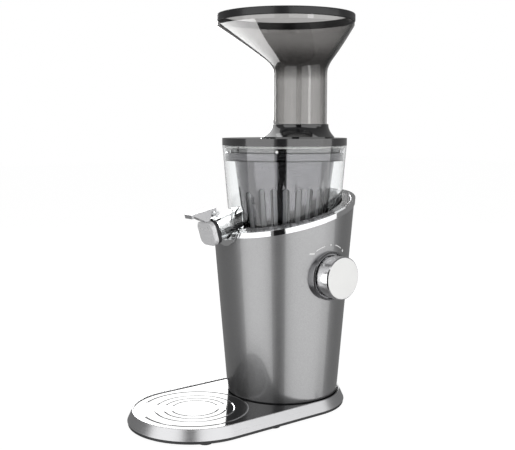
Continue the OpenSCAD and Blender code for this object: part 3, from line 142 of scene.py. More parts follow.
class Finish(Maker):
    # a material about its one Principled shader
    def __init__(self, name, color, **values):
        self.material = bpy.data.materials.new(name)
        self.material.use_nodes = True
        super().__init__(self.material.node_tree)
        self.shader = self.tree.nodes["Principled BSDF"]
        self.color = tuple(color) if hasattr(color, "__len__") else (color,) * 3
        self.shader.inputs["Base Color"].default_value = self.color + (1,)
        for socket, value in values.items():
            self.shader.inputs[socket.replace("_", " ")].default_value = value
        self.place = self.add("ShaderNodeTexCoord", output="Object")

    def link(self, socket, value):
        self.tree.links.new(value.socket, self.shader.inputs[socket])

    def vector(self, operation, first, second=None, output=0):
        sockets = {0: first} if second is None else {0: first, 1: second}
        return self.add("ShaderNodeVectorMath", {"operation": operation}, sockets, output)

    def height(self):
        return self.add("ShaderNodeSeparateXYZ", {}, {0: self.place}, 2)

    def ramp(self, value, start, end, kind="LINEAR"):
        # from 0 at start to 1 at end
        return self.add("ShaderNodeMapRange", {"interpolation_type": kind}, {0: value, 1: start, 2: end})

    def noise(self, scale, detail=2.0, stretch=None):
        # from 0 to 1, scale in patches for each metre
        where = self.vector("MULTIPLY", self.place, stretch) if stretch else self.place
        return self.add("ShaderNodeTexNoise", {}, {"Vector": where, "Scale": scale, "Detail": detail})

    def tint(self, mask, amount):
        # the colour a little lighter and darker by the mask
        light = tuple(min(1, c * (1 + amount) + amount * 0.01) for c in self.color) + (1,)
        dark = tuple(c * (1 - amount) for c in self.color) + (1,)
        mixed = self.mixColors(mask, dark, light)
        self.link("Base Color", mixed)
        return mixed

    def darkLine(self, away, width, blur, plain, black=(0.006, 0.006, 0.0065, 1)):
        # black where away is less than width, in metres
        off = self.ramp(away, width, width + blur)
        self.link("Base Color", self.mixColors(off, black, plain))

    def rough(self, middle, spread, mask):
        self.link("Roughness", middle + spread * (mask - 0.5))

    def relief(self, height, depth, strength):
        # depth in metres
        return self.add("ShaderNodeBump", {}, {"Height": height, "Distance": depth, "Strength": strength})

    def bump(self, height, depth, strength):
        self.link("Normal", self.relief(height, depth, strength))


# Studio

studio = {
    "cameraAt": (-0.6514, -0.7785, 0.3344),
    "cameraPitch": -6.69,  # degrees, negative looks down
    "cameraYaw": -38.12,
    "lens": 59.58,
    "sensor": 36,
    "floorSize": 12,
    "floorColor": 0.86,
    "floorRough": 0.9,
    "floorLift": 0.84,  # share of plain white that the camera sees in the floor
    "floorGlow": 1.13,
    "skyLevel": 0.42,  # what the room gives to the object
    "mirrorLevel": 0.26,  # what the room shows in glossy surfaces
    "blackCard": {"width": 0.4, "height": 2.8, "distance": 1.3, "up": 0.3, "turn": -5, "color": 0.004},
}
# turn is counted from the camera's side of the object, positive to the right of the picture
lamps = {
    "lampLeft": {"size": (1.5, 2.6), "watts": 13.6, "turn": -45.5, "distance": 1.45, "up": 0.3,
                 "aim": (0, 0, 0.3)},
    "lampRight": {"size": (2.05, 2.6), "watts": 18.4, "turn": 39.5, "distance": 1.5, "up": 0.3,
                  "aim": (0, 0, 0.3)},
    "lampStrip": {"size": (0.24, 2.6), "watts": 5.5, "turn": 40, "distance": 1.35, "up": 0.3,
                  "aim": (0, 0, 0.3), "lights": "onlyHopper"},
    "lampKnob": {"size": (0.42, 1.2), "watts": 1.4, "turn": 83, "distance": 1.2, "up": 0.1,
                 "aim": (0, -0.1, 0.165)},
    "lampSide": {"size": (1.1, 1.3), "watts": 7.0, "turn": -100, "distance": 1.2, "up": 0.3,
                 "aim": (0, -0.09, 0.165), "lights": "onlyKnob"},
    "lampTop": {"size": (1.0, 1.0), "watts": 2.0, "turn": 180, "distance": 0.5, "up": 1.5,
                "aim": (0, 0, 0.2)},
    "lampBack": {"size": (0.8, 0.5), "watts": 8.0, "turn": -168.7, "distance": 1.63, "up": 0.58,
                 "aim": (-0.13, 0, 0.02), "lights": "allButLid"},  # what the tray mirrors
    "lampLow": {"size": (1.1, 1.1), "watts": 20.0, "turn": -153, "distance": 1.2, "up": -0.5,
                "aim": (0, 0, 0.43), "lights": "onlyHopper"},  # the underside of the funnel
    "lampNeck": {"size": (1.5, 1.2), "watts": 5.0, "turn": -145, "distance": 1.2, "up": 0.95,
                 "aim": (0, 0, 0.33), "lights": "onlyNeck"},  # the flare under the hopper
}
# a lamp whose row names one of these lights only what is in it, or all but that
litPieces = {name: bpy.data.collections.new(name)
             for name in ("onlyHopper", "onlyKnob", "allButLid", "onlyNeck")}


def besideCamera(turn, distance, up):
    x, y, _ = studio["cameraAt"]
    around = math.atan2(y, x) + math.radians(turn)
    return distance * math.cos(around), distance * math.sin(around), up


def makeCamera():
    camera = bpy.data.objects.new("camera", bpy.data.cameras.new("camera"))
    camera.data.lens = studio["lens"]
    camera.data.sensor_width = studio["sensor"]
    camera.location = studio["cameraAt"]
    camera.rotation_euler = (math.radians(90 + studio["cameraPitch"]), 0, math.radians(studio["cameraYaw"]))
    bpy.context.collection.objects.link(camera)
    bpy.context.scene.camera = camera


def makeLamp(name, lamp):
    light = bpy.data.lights.new(name, "AREA")
    light.shape = "RECTANGLE"
    light.size, light.size_y = lamp["size"]
    light.energy = lamp["watts"]
    thing = bpy.data.objects.new(name, light)
    bpy.context.collection.objects.link(thing)
    thing.location = besideCamera(lamp["turn"], lamp["distance"], lamp["up"])
    thing.rotation_euler = (Vector(lamp["aim"]) - thing.location).to_track_quat("-Z", "Y").to_euler()
    if "lights" in lamp:
        thing.light_linking.receiver_collection = litPieces[lamp["lights"]]


def stagePlane(name, width, depth, place, turn, material):
    mesh = bpy.data.meshes.new(name)
    mesh.from_pydata([(x * width / 2, y * depth / 2, 0) for x, y in ((-1, -1), (1, -1), (1, 1), (-1, 1))],
                     [], [(0, 1, 2, 3)])
    mesh.materials.append(material)
    thing = bpy.data.objects.new(name, mesh)
    thing.location = place
    thing.rotation_euler = [math.radians(a) for a in turn]
    bpy.context.collection.objects.link(thing)
    return thing


def makeRoom():
    world = bpy.data.worlds.new("room")
    bpy.context.scene.world = world
    world.use_nodes = True
    room = Maker(world.node_tree)
    sky = room.add("ShaderNodeBackground", {}, {"Strength": studio["skyLevel"]})
    mirrored = room.add("ShaderNodeBackground", {}, {"Strength": studio["mirrorLevel"]})
    white = room.add("ShaderNodeBackground", {}, {"Color": (1, 1, 1, 1)})
    given = room.mixShaders(room.rays("Is Glossy Ray"), sky, mirrored)
    direct = room.rays("Is Camera Ray", "Is Transmission Ray")
    room.close("World Output", room.mixShaders(direct, given, white))


def makeFloor():
    paper = Finish("floorPaper", studio["floorColor"], Roughness=studio["floorRough"])
    matte = Reading(paper, paper.shader.outputs[0])
    white = paper.add("ShaderNodeEmission", {}, {"Strength": studio["floorGlow"]})
    lifted = paper.mixShaders(studio["floorLift"], matte, white)
    seen = paper.mixShaders(paper.rays("Is Camera Ray", "Is Transmission Ray"), matte, lifted)
    nothing = paper.add("ShaderNodeBsdfTransparent")
    skipped = paper.rays("Is Glossy Ray", "Is Shadow Ray")
    paper.close("Material Output", paper.mixShaders(skipped, seen, nothing))
    stagePlane("floor", studio["floorSize"], studio["floorSize"], (0, 0, 0), (0, 0, 0), paper.material)


def makeBlackCard(card):
    black = Finish("cardBlack", card["color"], Roughness=1.0).material
    place = besideCamera(card["turn"], card["distance"], card["up"])
    plane = stagePlane("blackCard", card["width"], card["height"], place,
                       (90, 0, studio["cameraYaw"] + card["turn"]), black)
    plane.visible_camera = plane.visible_shadow = False  # seen in mirrors and through the clear bowl


def makeStudio():
    makeCamera()
    makeRoom()
    makeFloor()
    makeBlackCard(studio["blackCard"])
    for name in ("knob_body", "knob_bezel"):
        litPieces["onlyKnob"].objects.link(nodes[name])
    litPieces["allButLid"].objects.link(nodes["lid_plate"])  # its flat top would mirror the back lamp
    litPieces["allButLid"].collection_objects[0].light_linking.link_state = "EXCLUDE"
    for name, lamp in lamps.items():
        makeLamp(name, lamp)
    bpy.context.scene.view_settings.view_transform = "Standard"


makeStudio()
print("studio ready")


# Finishes

def lacquer(name, color):
    f = Finish(name, color, Metallic=0.92, Coat_Weight=1.0, Coat_Roughness=0.03, Coat_IOR=1.6)
    flakes = f.add("ShaderNodeTexVoronoi", {}, {"Vector": f.place, "Scale": 2600.0}, "Color")
    sparkle = f.add("ShaderNodeSeparateColor", {}, {0: flakes})
    cloud = f.noise(22.0, detail=3.0)
    f.tint(0.7 * sparkle + 0.3 * cloud, amount=0.16)
    f.rough(0.33, spread=0.04, mask=cloud)
    f.bump(sparkle, depth=0.000004, strength=0.3)
    return f.material


def chrome(name, color, rough):
    f = Finish(name, color, Metallic=1.0)
    smear = f.noise(60.0, detail=4.0)
    f.tint(smear, amount=0.03)
    f.rough(rough, spread=0.05, mask=smear)
    f.bump(f.noise(300.0, detail=1.0), depth=0.00001, strength=0.3)
    return f.material


def brushed(name, color, rough, along, depth=0.00003):
    # along: how far the strokes are stretched in X, Y and Z
    f = Finish(name, color, Metallic=1.0)
    strokes = f.noise(1.0, detail=6.0, stretch=along)
    broad = f.noise(35.0)
    f.tint(0.75 * strokes + 0.25 * broad, amount=0.1)
    f.rough(rough, spread=0.16, mask=strokes)
    f.bump(strokes, depth, strength=0.5)
    return f.material


def turned(name, color, rough):
    # rings left by a lathe round the knob's axis, which runs along Y
    f = Finish(name, color, Metallic=1.0)
    moved = f.vector("SUBTRACT", f.place, (knobX / 1000, 0, knobZ / 1000))
    radius = f.vector("LENGTH", f.vector("MULTIPLY", moved, (1, 0, 1)), output="Value")
    rings = f.add("ShaderNodeTexNoise", {"noise_dimensions": "1D"},
                  {"W": radius, "Scale": 2200.0, "Detail": 4.0})
    broad = f.noise(50.0)
    f.tint(0.7 * rings + 0.3 * broad, amount=0.08)
    f.rough(rough, spread=0.12, mask=rings)
    f.bump(rings, depth=0.00003, strength=0.45)
    return f.material


def gloss(name, color, rough=0.08, coat=0.6, ior=1.5):
    f = Finish(name, color, Coat_Weight=coat, Coat_Roughness=0.03, IOR=ior)
    haze = f.noise(70.0, detail=4.0)
    f.tint(haze, amount=0.12)
    f.rough(rough, spread=0.07, mask=haze)
    f.bump(f.noise(160.0, detail=1.0), depth=0.00002, strength=0.25)
    return f.material


def grained(name, color, rough=0.5, grain=1400.0, depth=0.00006):
    f = Finish(name, color)
    pits = f.noise(grain)
    broad = f.noise(30.0, detail=3.0)
    f.tint(0.6 * pits + 0.4 * broad, amount=0.18)
    f.rough(rough, spread=0.15, mask=broad)
    f.bump(pits, depth, strength=0.6)
    return f.material


def rubber(name, color=(0.018, 0.018, 0.019)):
    f = Finish(name, color, Sheen_Weight=0.05)
    dust = f.noise(90.0, detail=5.0)
    f.tint(dust, amount=0.35)
    f.rough(0.72, spread=0.2, mask=dust)
    f.bump(f.noise(900.0), depth=0.00005, strength=0.5)
    return f.material


def clear(name, color, rough=0.01, ior=1.46):
    f = Finish(name, color, Transmission_Weight=1.0, IOR=ior)
    swirl = f.noise(18.0)
    f.rough(rough, spread=0.015, mask=swirl)
    f.tint(swirl, amount=0.02)
    f.bump(f.noise(40.0, detail=0.0), depth=0.00002, strength=0.15)
    return f.material


def deck(name, color, gapShade=0.00314):
    # painted shade: black for the width of the shadow gap round the bowl, where the bowl stands in the well
    f = Finish(name, color, Coat_Weight=0.6, Coat_Roughness=0.04)
    haze = f.noise(70.0, detail=4.0)
    plain = f.tint(haze, amount=0.12)
    radius = f.vector("LENGTH", f.vector("MULTIPLY", f.place, (1, 1, 0)), output="Value")
    bowlR = (bowlCone["footR"] - bowlCone["lean"] * bowlFoot) / 1000  # the bowl's cone at height 0
    # the painted shade of the gap, a ring just outside the bowl's cone
    f.darkLine(radius - bowlCone["lean"] * f.height(), bowlR + gapShade, 0.0004, plain)
    f.rough(0.2, spread=0.07, mask=haze)
    f.bump(f.noise(160.0, detail=1.0), depth=0.00002, strength=0.25)
    return f.material


def smoke(name, color, rough, below=0.0087):
    # with a dark line at the lower edge of the flange's rim, so far below its top
    f = Finish(name, color, Coat_Weight=0.3, Coat_Roughness=0.05, Metallic=0.9)
    cloud = f.noise(40.0, detail=3.0)
    plain = f.tint(cloud, amount=0.1)
    f.darkLine(abs(f.height() - (strainerTop / 1000 - below)), 0.0005, 0.0003, plain)
    f.rough(rough, spread=0.08, mask=cloud)
    f.bump(f.noise(120.0, detail=1.0), depth=0.00002, strength=0.2)
    return f.material


def satin(name, color, rough, metal):
    f = Finish(name, color, Metallic=metal, Coat_Weight=0.2)
    grain = f.noise(1100.0)
    broad = f.noise(60.0, detail=3.0)
    f.tint(0.5 * grain + 0.5 * broad, amount=0.07)
    f.rough(rough, spread=0.1, mask=broad)
    f.bump(grain, depth=0.00001, strength=0.4)
    return f.material


def tintedShell(name, color, deep, start, end, fade=0.026, edge=(0.1, 0.1, 0.1, 1)):
    # thin coloured plastic: each wall takes its share of the light, more from height start on,
    # and above end less again over the height fade
    f = Finish(name, color, Metallic=0.0, IOR=1.5)
    swirl = f.noise(25.0)
    f.rough(0.05, spread=0.03, mask=swirl)
    pale = f.tint(swirl, amount=0.03)
    rise = f.ramp(f.height(), start, end, "SMOOTHSTEP")
    fall = f.ramp(f.height(), end, end + fade, "SMOOTHSTEP")
    mixed = f.mixColors(rise - 0.72 * fall, pale, deep + (1,))
    bent = f.relief(f.noise(60.0, detail=1.0), depth=0.00003, strength=0.2)
    mirror = f.add("ShaderNodeBsdfAnisotropic", {},
                   {"Color": (1, 1, 1, 1), "Roughness": 0.05, "Normal": bent})
    aside = f.add("ShaderNodeLayerWeight", {}, {"Blend": 0.5, "Normal": bent}, "Facing")
    through = f.add("ShaderNodeBsdfTransparent", {}, {"Color": f.mixColors(aside ** 4.0, mixed, edge)})
    f.close("Material Output", f.mixShaders(0.042 + 0.5 * aside ** 5.0, through, mirror))
    return f.material


def steel(name, color=(0.62, 0.63, 0.64), rough=0.28):
    f = Finish(name, color, Metallic=1.0)
    wear = f.noise(150.0, detail=4.0)
    f.tint(wear, amount=0.12)
    f.rough(rough, spread=0.2, mask=wear)
    f.bump(f.noise(1500.0), depth=0.00002, strength=0.4)
    return f.material


def casting(name, color):
    f = Finish(name, color, Metallic=0.85)
    sand = f.noise(700.0, detail=4.0)
    f.tint(f.noise(45.0, detail=4.0), amount=0.18)
    f.rough(0.5, spread=0.25, mask=sand)
    f.bump(sand, depth=0.0001, strength=0.6)
    return f.material


# each finish: what makes it, its values, and the nodes that have it
finishRows = {
    "footRubber": (rubber, {}, ["feet"]),
    "panPlastic": (grained, {"color": (0.03, 0.03, 0.032)}, ["base_pan", "body_floor"]),
    "rimMetal": (brushed, {"color": (0.66, 0.66, 0.67), "rough": 0.3, "along": (14.0, 14.0, 2200.0)},
                 ["base_rim"]),
    "trayGloss": (gloss, {"color": (0.008, 0.008, 0.009), "rough": 0.02, "coat": 0.0, "ior": 1.55},
                  ["base_deck"]),
    "bodyLacquer": (lacquer, {"color": (0.36, 0.36, 0.365)}, ["body_shell"]),
    "collarChrome": (chrome, {"color": (0.9, 0.905, 0.91), "rough": 0.07}, ["collar_ring"]),
    "wellPlastic": (deck, {"color": (0.13, 0.13, 0.135)}, ["body_well"]),
    "sealRubber": (rubber, {"color": (0.022, 0.022, 0.024)},
                   ["shaft_seal", "cord_bush", "bowl_foot_seal", "cap_seal"]),
    "plainSteel": (steel, {}, ["base_screws", "gearbox_screws", "drive_bearings", "idler_pins",
                               "motor_bearings", "motor_screws", "switch_nut", "drive_shaft", "motor_shaft",
                               "knob_shaft", "bowl_magnet", "cap_hinge_pin", "auger_hub"]),
    "dieCast": (casting, {"color": (0.5, 0.51, 0.52)}, ["gearbox_housing", "gearbox_cover"]),
    "motorCoat": (grained, {"color": (0.09, 0.095, 0.1), "rough": 0.4, "grain": 800.0},
                  ["motor_can", "motor_end_cap"]),
    "coreSteel": (steel, {"color": (0.36, 0.37, 0.38), "rough": 0.45}, ["motor_stator", "rotor_core"]),
    "copperWire": (brushed, {"color": (0.7, 0.33, 0.14), "rough": 0.35, "along": (900.0, 900.0, 3000.0),
                             "depth": 0.0001}, ["motor_windings"]),
    "boardGreen": (gloss, {"color": (0.02, 0.13, 0.05), "rough": 0.35, "coat": 0.3}, ["control_board"]),
    "partPlastic": (grained, {"color": (0.035, 0.036, 0.04), "rough": 0.45},
                    ["board_parts", "rotary_switch", "reed_switch", "cooling_fan"]),
    "gearNylon": (grained, {"color": (0.66, 0.58, 0.42), "rough": 0.42, "grain": 500.0, "depth": 0.00003},
                  ["reduction_gear_one", "reduction_gear_two"]),
    "gearMetal": (steel, {"color": (0.62, 0.47, 0.26), "rough": 0.35}, ["output_gear", "motor_pinion"]),
    "bezelGrey": (turned, {"color": (0.34, 0.34, 0.35), "rough": 0.2}, ["knob_bezel"]),
    "knobSilver": (turned, {"color": (0.88, 0.88, 0.89), "rough": 0.13}, ["knob_body"]),
    "faceWhite": (turned, {"color": (0.83, 0.83, 0.82), "rough": 0.36}, ["knob_face"]),
    "bowlClear": (clear, {"color": (0.97, 0.98, 0.985)}, ["juice_bowl"]),
    "strainerSmoke": (smoke, {"color": (0.128, 0.125, 0.132), "rough": 0.1}, ["outer_strainer"]),
    "innerGrey": (grained, {"color": (0.28, 0.28, 0.29), "rough": 0.4}, ["inner_strainer"]),
    "capSilver": (satin, {"color": (0.74, 0.74, 0.75), "rough": 0.28, "metal": 0.3}, ["spout_cap"]),
    "leverSilver": (satin, {"color": (0.47, 0.47, 0.48), "rough": 0.22, "metal": 0.65}, ["cap_lever"]),
    "augerDark": (gloss, {"color": (0.04, 0.04, 0.043), "rough": 0.25}, ["auger"]),
    "lidDark": (gloss, {"color": (0.016, 0.016, 0.017), "rough": 0.14, "coat": 1.0, "ior": 1.85},
                ["lid_plate"]),
    "neckBlack": (gloss, {"color": (0.01, 0.01, 0.011), "rough": 0.05, "coat": 1.0, "ior": 1.6},
                  ["lid_neck"]),
    "sealPale": (rubber, {"color": (0.6, 0.6, 0.58)}, ["lid_seal"]),
    "bushWhite": (grained, {"color": (0.75, 0.75, 0.73), "rough": 0.4}, ["lid_bush"]),
    "hopperSmoke": (tintedShell, {"color": (0.735, 0.73, 0.725), "deep": (0.42, 0.415, 0.41), "start": 0.385,
                                  "end": 0.408}, ["hopper"]),
    "bandBlack": (gloss, {"color": (0.012, 0.012, 0.013), "rough": 0.3, "coat": 0.25}, ["hopper_rim"]),
    # white for the printed marks round the knob and its pointer, and for the painted highlights on the
    # bowl's lugs
    "markWhite": (grained, {"color": (0.86, 0.86, 0.85), "grain": 900.0, "depth": 0.00001}, []),
    "lineSilver": (brushed, {"color": (0.42, 0.42, 0.43), "rough": 0.08, "along": (120.0, 120.0, 120.0),
                             "depth": 0.000005}, []),
}
finishes = {name: make(name, **values) for name, (make, values, _) in finishRows.items()}


def paintNodes():
    for finish, (_, _, names) in finishRows.items():
        for name in names:
            mesh = nodes[name].data
            mesh.materials.clear()
            mesh.materials.append(finishes[finish])


paintNodes()
print("nodes painted")


# Edges

# rounded edges, in millimetres
edgeWidths = {"base_rim": 0.5, "base_pan": 0.3, "base_deck": 0.15, "body_shell": 0.2, "body_well": 0.3,
              "collar_ring": 0.35, "knob_bezel": 0.4, "knob_body": 0.25, "knob_face": 0.3,
              "spout_cap": 0.8, "cap_seal": 0.4, "cap_lever": 0.6, "juice_bowl": 0.35, "outer_strainer": 0.3,
              "lid_plate": 0.8}
softening = {"merge": 0.000002, "smoothAngle": 28, "edgeAngle": 40, "edgeSteps": 2}


def makeSmoothing():
    # joins the triangles of a solid and shades its round faces as round
    group = bpy.data.node_groups.new("roundFaces", "GeometryNodeTree")
    for side in ("INPUT", "OUTPUT"):
        group.interface.new_socket("Geometry", in_out=side, socket_type="NodeSocketGeometry")
    tree = Maker(group)
    merged = tree.add("GeometryNodeMergeByDistance", {}, {"Geometry": tree.add("NodeGroupInput"),
                                                          "Distance": softening["merge"]})
    plain = tree.add("GeometryNodeRemoveAttribute", {}, {"Geometry": merged, "Name": "custom_normal"})
    faces = tree.add("GeometryNodeSetShadeSmooth", {}, {"Geometry": plain})
    turn = tree.add("GeometryNodeInputMeshEdgeAngle", output="Unsigned Angle")
    steep = turn > math.radians(softening["smoothAngle"])
    edges = tree.add("GeometryNodeSetShadeSmooth", {"domain": "EDGE"},
                     {"Geometry": faces, "Selection": steep, "Shade Smooth": False})
    tree.add("NodeGroupOutput", {}, {0: edges})
    return group


def softenNodes():
    group = makeSmoothing()
    for name, thing in nodes.items():
        thing.modifiers.new("roundFaces", "NODES").node_group = group
        if name in edgeWidths:
            bevel = thing.modifiers.new("edges", "BEVEL")
            bevel.width = edgeWidths[name] / 1000
            bevel.segments = softening["edgeSteps"]
            bevel.limit_method = "ANGLE"
            bevel.angle_limit = math.radians(softening["edgeAngle"])
            bevel.harden_normals = True


softenNodes()
print("nodes softened")


# Shapes


def asPiece(name, points, faces, finish, body, replaced=(), sharp=35.0):
    # points in millimetres, sharp in degrees
    mesh = bpy.data.meshes.new(name)
    mesh.from_pydata([tuple(v / 1000 for v in p) for p in points], [], faces)
    mesh.validate()
    work = bmesh.new()
    work.from_mesh(mesh)
    bmesh.ops.recalc_face_normals(work, faces=work.faces)
    work.to_mesh(mesh)
    work.free()
    mesh.shade_smooth()
    mesh.set_sharp_from_angle(angle=math.radians(sharp))
    mesh.materials.append(finishes[finish])
    piece = bpy.data.objects.new(name, mesh)
    bpy.context.collection.objects.link(piece)
    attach(piece, body)
    if replaced:
        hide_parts(*replaced)
    return piece


def bandFaces(rows, columns):
    # faces between rows of points that close both ways
    faces = []
    for row in range(rows):
        for column in range(columns):
            a, b = row * columns + column, row * columns + (column + 1) % columns
            c, d = (row + 1) % rows * columns + (column + 1) % columns, (row + 1) % rows * columns + column
            faces.append((a, b, c, d))
    return faces


def ringOf(profile, columns):
    # profile: a closed run of (center x, radius, z)
    turns = [2 * math.pi * i / columns for i in range(columns)]
    points = [(x + radius * math.cos(a), radius * math.sin(a), z) for x, radius, z in profile for a in turns]
    return points, bandFaces(len(profile), columns)


def corner(center, r, z, radius, start, end, steps=5):
    # a rounded corner of a profile about (r, z), angles in degrees
    turns = [math.radians(start + (end - start) * i / steps) for i in range(steps + 1)]
    return [(center, r + radius * math.cos(a), z + radius * math.sin(a)) for a in turns]


def between(table, x):
    # a smooth curve through the table's points
    for i in range(len(table) - 1):
        (x0, y0), (x1, y1) = table[i], table[i + 1]
        if x <= x1:
            before, after = table[max(i - 1, 0)], table[min(i + 2, len(table) - 1)]
            slope0 = (y1 - before[1]) / (x1 - before[0])
            slope1 = (after[1] - y0) / (after[0] - x0)
            t, step = (x - x0) / (x1 - x0), x1 - x0
            return ((2 * t ** 3 - 3 * t ** 2 + 1) * y0 + (t ** 3 - 2 * t ** 2 + t) * step * slope0
                    + (3 * t ** 2 - 2 * t ** 3) * y1 + (t ** 3 - t ** 2) * step * slope1)
    return table[-1][1]


def slabOf(place, rows, columns):
    # a thin plate: place(u, v, side) gives its front (side 0) and its back (side 1), u and v from 0 to 1
    wide = columns + 1
    count = (rows + 1) * wide
    points = [place(i % wide / columns, i // wide / rows, side) for side in (0, 1) for i in range(count)]
    faces = []
    for row in range(rows):
        for column in range(columns):
            a = row * wide + column
            square = (a, a + 1, a + wide + 1, a + wide)
            faces += [square, tuple(count + i for i in reversed(square))]
    edge = list(range(columns)) + [row * wide + columns for row in range(rows)]
    edge += [rows * wide + column for column in range(columns, 0, -1)]
    edge += [row * wide for row in range(rows, 0, -1)]
    for a, b in zip(edge, edge[1:] + edge[:1]):
        faces.append((b, a, count + a, count + b))
    return points, faces


def discOf(place, columns=24):
    # a thin round plate: place(across, up, side), across and up from -1 to 1
    turns = [2 * math.pi * i / columns for i in range(columns)]
    points = [place(math.cos(a), math.sin(a), side) for side in (0, 1) for a in turns]
    faces = [tuple(range(columns)), tuple(range(2 * columns - 1, columns - 1, -1))]
    faces += [(b, a, columns + a, columns + b) for a, b in ((i, (i + 1) % columns) for i in range(columns))]
    return points, faces


def joined(parts):
    points, faces = [], []
    for some, theirs in parts:
        faces += [tuple(len(points) + i for i in face) for face in theirs]
        points += some
    return points, faces


# Base

# lines: radius and width of each ring
tray = {"shift": 0.6, "root": 0.3, "stem": 0.6, "ridge": 0.28, "columns": 120, "sharp": 12,
        "lines": [(26.5, 2.0), (35.1, 2.0), (45.0, 2.0), (59.7, 2.7)]}


def makeTrayLines():
    # the inlaid rings that show where the cup goes
    (farX, _, _), (_, deckR, top) = boxOf("base_deck")
    x, root, stem = farX + deckR - tray["shift"], top - tray["root"], tray["stem"]
    parts = []
    for radius, width in tray["lines"]:
        profile = [(-stem, root), (stem, root), (stem, top), (width / 2, top), (0, top + tray["ridge"]),
                   (-width / 2, top), (-stem, top)]
        parts.append(ringOf([(x, radius + out, z) for out, z in profile], tray["columns"]))
    asPiece("tray_lines", *joined(parts), "lineSilver", "base", sharp=tray["sharp"])


# marks round the knob: turns in degrees from the top, a dot is its turn and its radius
dial = {"radius": 35.2, "width": 1.2, "proud": 0.05, "sink": 0.3,
        "arcs": [(-33, -13), (14, 33)],
        "bar": {"x": -24.1, "up": 26.8, "length": 6.2, "height": 2.1},
        "dots": [(1.5, 1.1), (42, 1.5)]}
knobDot = {"size": 1.0, "proud": 0.06, "sink": 0.3}


def onBody(x, z, side):
    # a point on the body's front
    skin = bodyCone["footR"] + bodyCone["lean"] * (z - bodyFoot)
    skin += -dial["sink"] if side else dial["proud"]
    return x, -math.sqrt(skin ** 2 - (x - bodyCone["x"]) ** 2), z


def aboutKnob(turn, radius, side):
    around = math.radians(turn)
    return onBody(radius * math.sin(around), knobZ + radius * math.cos(around), side)


def makeDial():
    middle, width, bar = dial["radius"], dial["width"], dial["bar"]

    def onBar(u, v, side):
        x = bar["x"] + (u - 0.5) * bar["length"]
        return onBody(x, knobZ + bar["up"] + (v - 0.5) * bar["height"], side)

    parts = [slabOf(onBar, 2, 6)]
    for start, end in dial["arcs"]:
        def onArc(u, v, side):
            return aboutKnob(start + u * (end - start), middle + (v - 0.5) * width, side)
        parts.append(slabOf(onArc, 1, 12))
    for turn, size in dial["dots"]:
        def onDot(u, v, side):
            return aboutKnob(turn + math.degrees(size * u / middle), middle + size * v, side)
        parts.append(discOf(onDot))
    asPiece("dial_marks", *joined(parts), "markWhite", "base")


def makeKnobDot():
    # the pointer on the knob's side
    knobR, size = boxOf("knob_body")[1][0], knobDot["size"]

    def onKnob(u, v, side):
        radius = knobR + (-knobDot["sink"] if side else knobDot["proud"])
        turn = size * u / knobR
        return radius * math.sin(turn), knobY - size * v, knobZ + radius * math.cos(turn)

    asPiece("knob_dot", *discOf(onKnob), "markWhite", "knob")


makeTrayLines()
makeDial()
makeKnobDot()
print("base marks built")


# Bowl

# painted highlights: white dots where the bowl's lugs catch the light; turns in degrees about the bowl's
# axis, from X
bowlGlints = {"below": 6.0, "turns": [-187.92, -136.52, -67.92], "size": 1.6, "proud": 0.06, "sink": 0.3}


def makeBowlGlints():
    parts = []
    for turn in bowlGlints["turns"]:
        def onBowl(u, v, side):
            z = bowlTop - bowlGlints["below"] + bowlGlints["size"] * v
            skin = bowlCone["footR"] + bowlCone["lean"] * (z - bowlFoot)
            skin += -bowlGlints["sink"] if side else bowlGlints["proud"]
            around = math.radians(turn) + bowlGlints["size"] * u / skin
            return skin * math.cos(around), skin * math.sin(around), z
        parts.append(discOf(onBowl))
    # white discs that paint the lugs' highlights
    asPiece("bowl_glints", *joined(parts), "markWhite", "bowl")


makeBowlGlints()
print("bowl glints built")


# Hopper

(hopperNear, _, hopperFoot), (hopperFar, mouthR, mouthZ) = boxOf("hopper")
neckFoot, neckTop = (end[2] for end in boxOf("lid_neck"))
mouthX = (hopperNear + hopperFar) / 2
# flare: how wide the funnel has grown at a share of its height
hopperShape = {
    "chuteX": 24.4, "chuteR": 32.0, "wall": 2.4, "edge": 0.5, "chuteHeight": 60.4, "lip": 4.5, "bend": 1.25,
    "chuteRows": (345, 370, 388), "funnelRows": 36, "lipRow": 3, "columns": 144,
    "flare": [(0, 0), (0.06, 0.0068), (0.12, 0.027), (0.18, 0.061), (0.24, 0.1085), (0.315, 0.187),
              (0.55, 0.466), (0.8, 0.763), (1, 1)],
}


def funnelRow(share, wall):
    s = hopperShape
    grown = between(s["flare"], share)
    low, high = neckTop + s["chuteHeight"], mouthZ - s["lip"]
    return (s["chuteX"] + grown ** s["bend"] * (mouthX - s["chuteX"]),
            s["chuteR"] + grown * (mouthR - s["chuteR"]) - wall,
            low + share * (high - low))


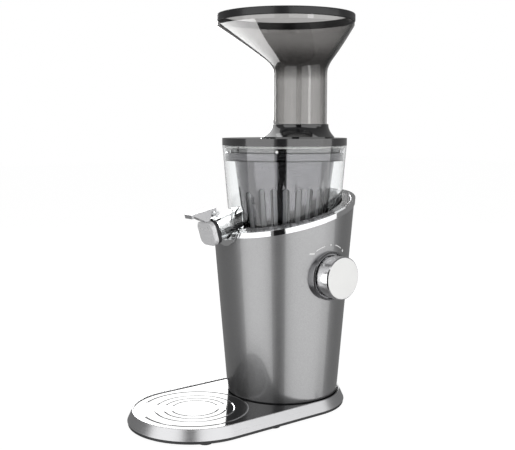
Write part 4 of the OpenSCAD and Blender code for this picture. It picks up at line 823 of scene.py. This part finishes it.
def makeHopper():
    s = hopperShape
    x, chuteR, wall, edge = s["chuteX"], s["chuteR"], s["wall"], s["edge"]
    shares = [i / s["funnelRows"] for i in range(s["funnelRows"] + 1)]
    outside = corner(x, chuteR - edge, hopperFoot + edge, edge, -90, 0, 3)
    outside += [(x, chuteR, z) for z in s["chuteRows"]]
    outside += [funnelRow(share, 0) for share in shares]
    outside += [(mouthX, mouthR, mouthZ - s["lipRow"]), (mouthX, mouthR, mouthZ)]
    inside = [(mouthX, mouthR - wall, mouthZ), (mouthX, mouthR - wall, mouthZ - s["lipRow"])]
    inside += [funnelRow(share, wall) for share in reversed(shares)]
    inside += [(x, chuteR - wall, z) for z in (*reversed(s["chuteRows"]), hopperFoot)]
    shell = asPiece("hopper_shell", *ringOf(outside + inside, s["columns"]), "hopperSmoke", "hopper",
                    ["hopper"])
    litPieces["onlyHopper"].objects.link(shell)


hopperRim = {"over": 0.9, "width": 3.6, "lowRound": 0.7, "outRound": 1.5, "inRound": 1.2, "step": 3,
             "columns": 192}


def makeHopperRim():
    s = hopperRim
    foot, top = (end[2] for end in boxOf("hopper_rim"))
    outer, wall = mouthR + s["over"], mouthR - hopperShape["wall"]
    inner = outer - s["width"]
    profile = [(mouthX, wall, foot), (mouthX, mouthR, foot)]
    profile += corner(mouthX, outer - s["lowRound"], foot + s["lowRound"], s["lowRound"], -90, 0)
    profile += corner(mouthX, outer - s["outRound"], top - s["outRound"], s["outRound"], 0, 90, 8)
    profile += corner(mouthX, inner + s["inRound"], top - s["inRound"], s["inRound"], 90, 180)
    profile += [(mouthX, wall, foot + s["step"])]
    asPiece("hopper_band", *ringOf(profile, s["columns"]), "bandBlack", "hopper", ["hopper_rim"])


makeHopper()
makeHopperRim()
print("hopper built")


# Lid

neck = {"footR": 43.9, "footX": 20.4, "footHeight": 1.4, "wall": 1.9, "socketGap": 0.3, "round": 0.7,
        "rows": 20, "columns": 144}


def makeNeck():
    s = neck
    topX, topR = hopperShape["chuteX"], hopperShape["chuteR"] + s["wall"]
    socket, ledge = hopperShape["chuteR"] + s["socketGap"], hopperFoot - s["socketGap"]
    bore = hopperShape["chuteR"] - hopperShape["wall"]
    profile = [(s["footX"], s["footR"], neckFoot)]
    for i in range(s["rows"] + 1):
        rise = i / s["rows"]
        grown = (1 - rise) ** 2
        z = neckFoot + s["footHeight"] + rise * (neckTop - neckFoot - s["footHeight"] - s["round"])
        profile.append((topX + grown * (s["footX"] - topX), topR + grown * (s["footR"] - topR), z))
    profile += corner(topX, topR - s["round"], neckTop - s["round"], s["round"], 15, 90)
    profile += [(topX, socket, neckTop), (topX, socket, ledge), (topX, bore, ledge), (topX, bore, neckFoot)]
    flare = asPiece("neck_flare", *ringOf(profile, s["columns"]), "neckBlack", "lid", ["lid_neck"])
    litPieces["onlyNeck"].objects.link(flare)


makeNeck()
print("lid built")
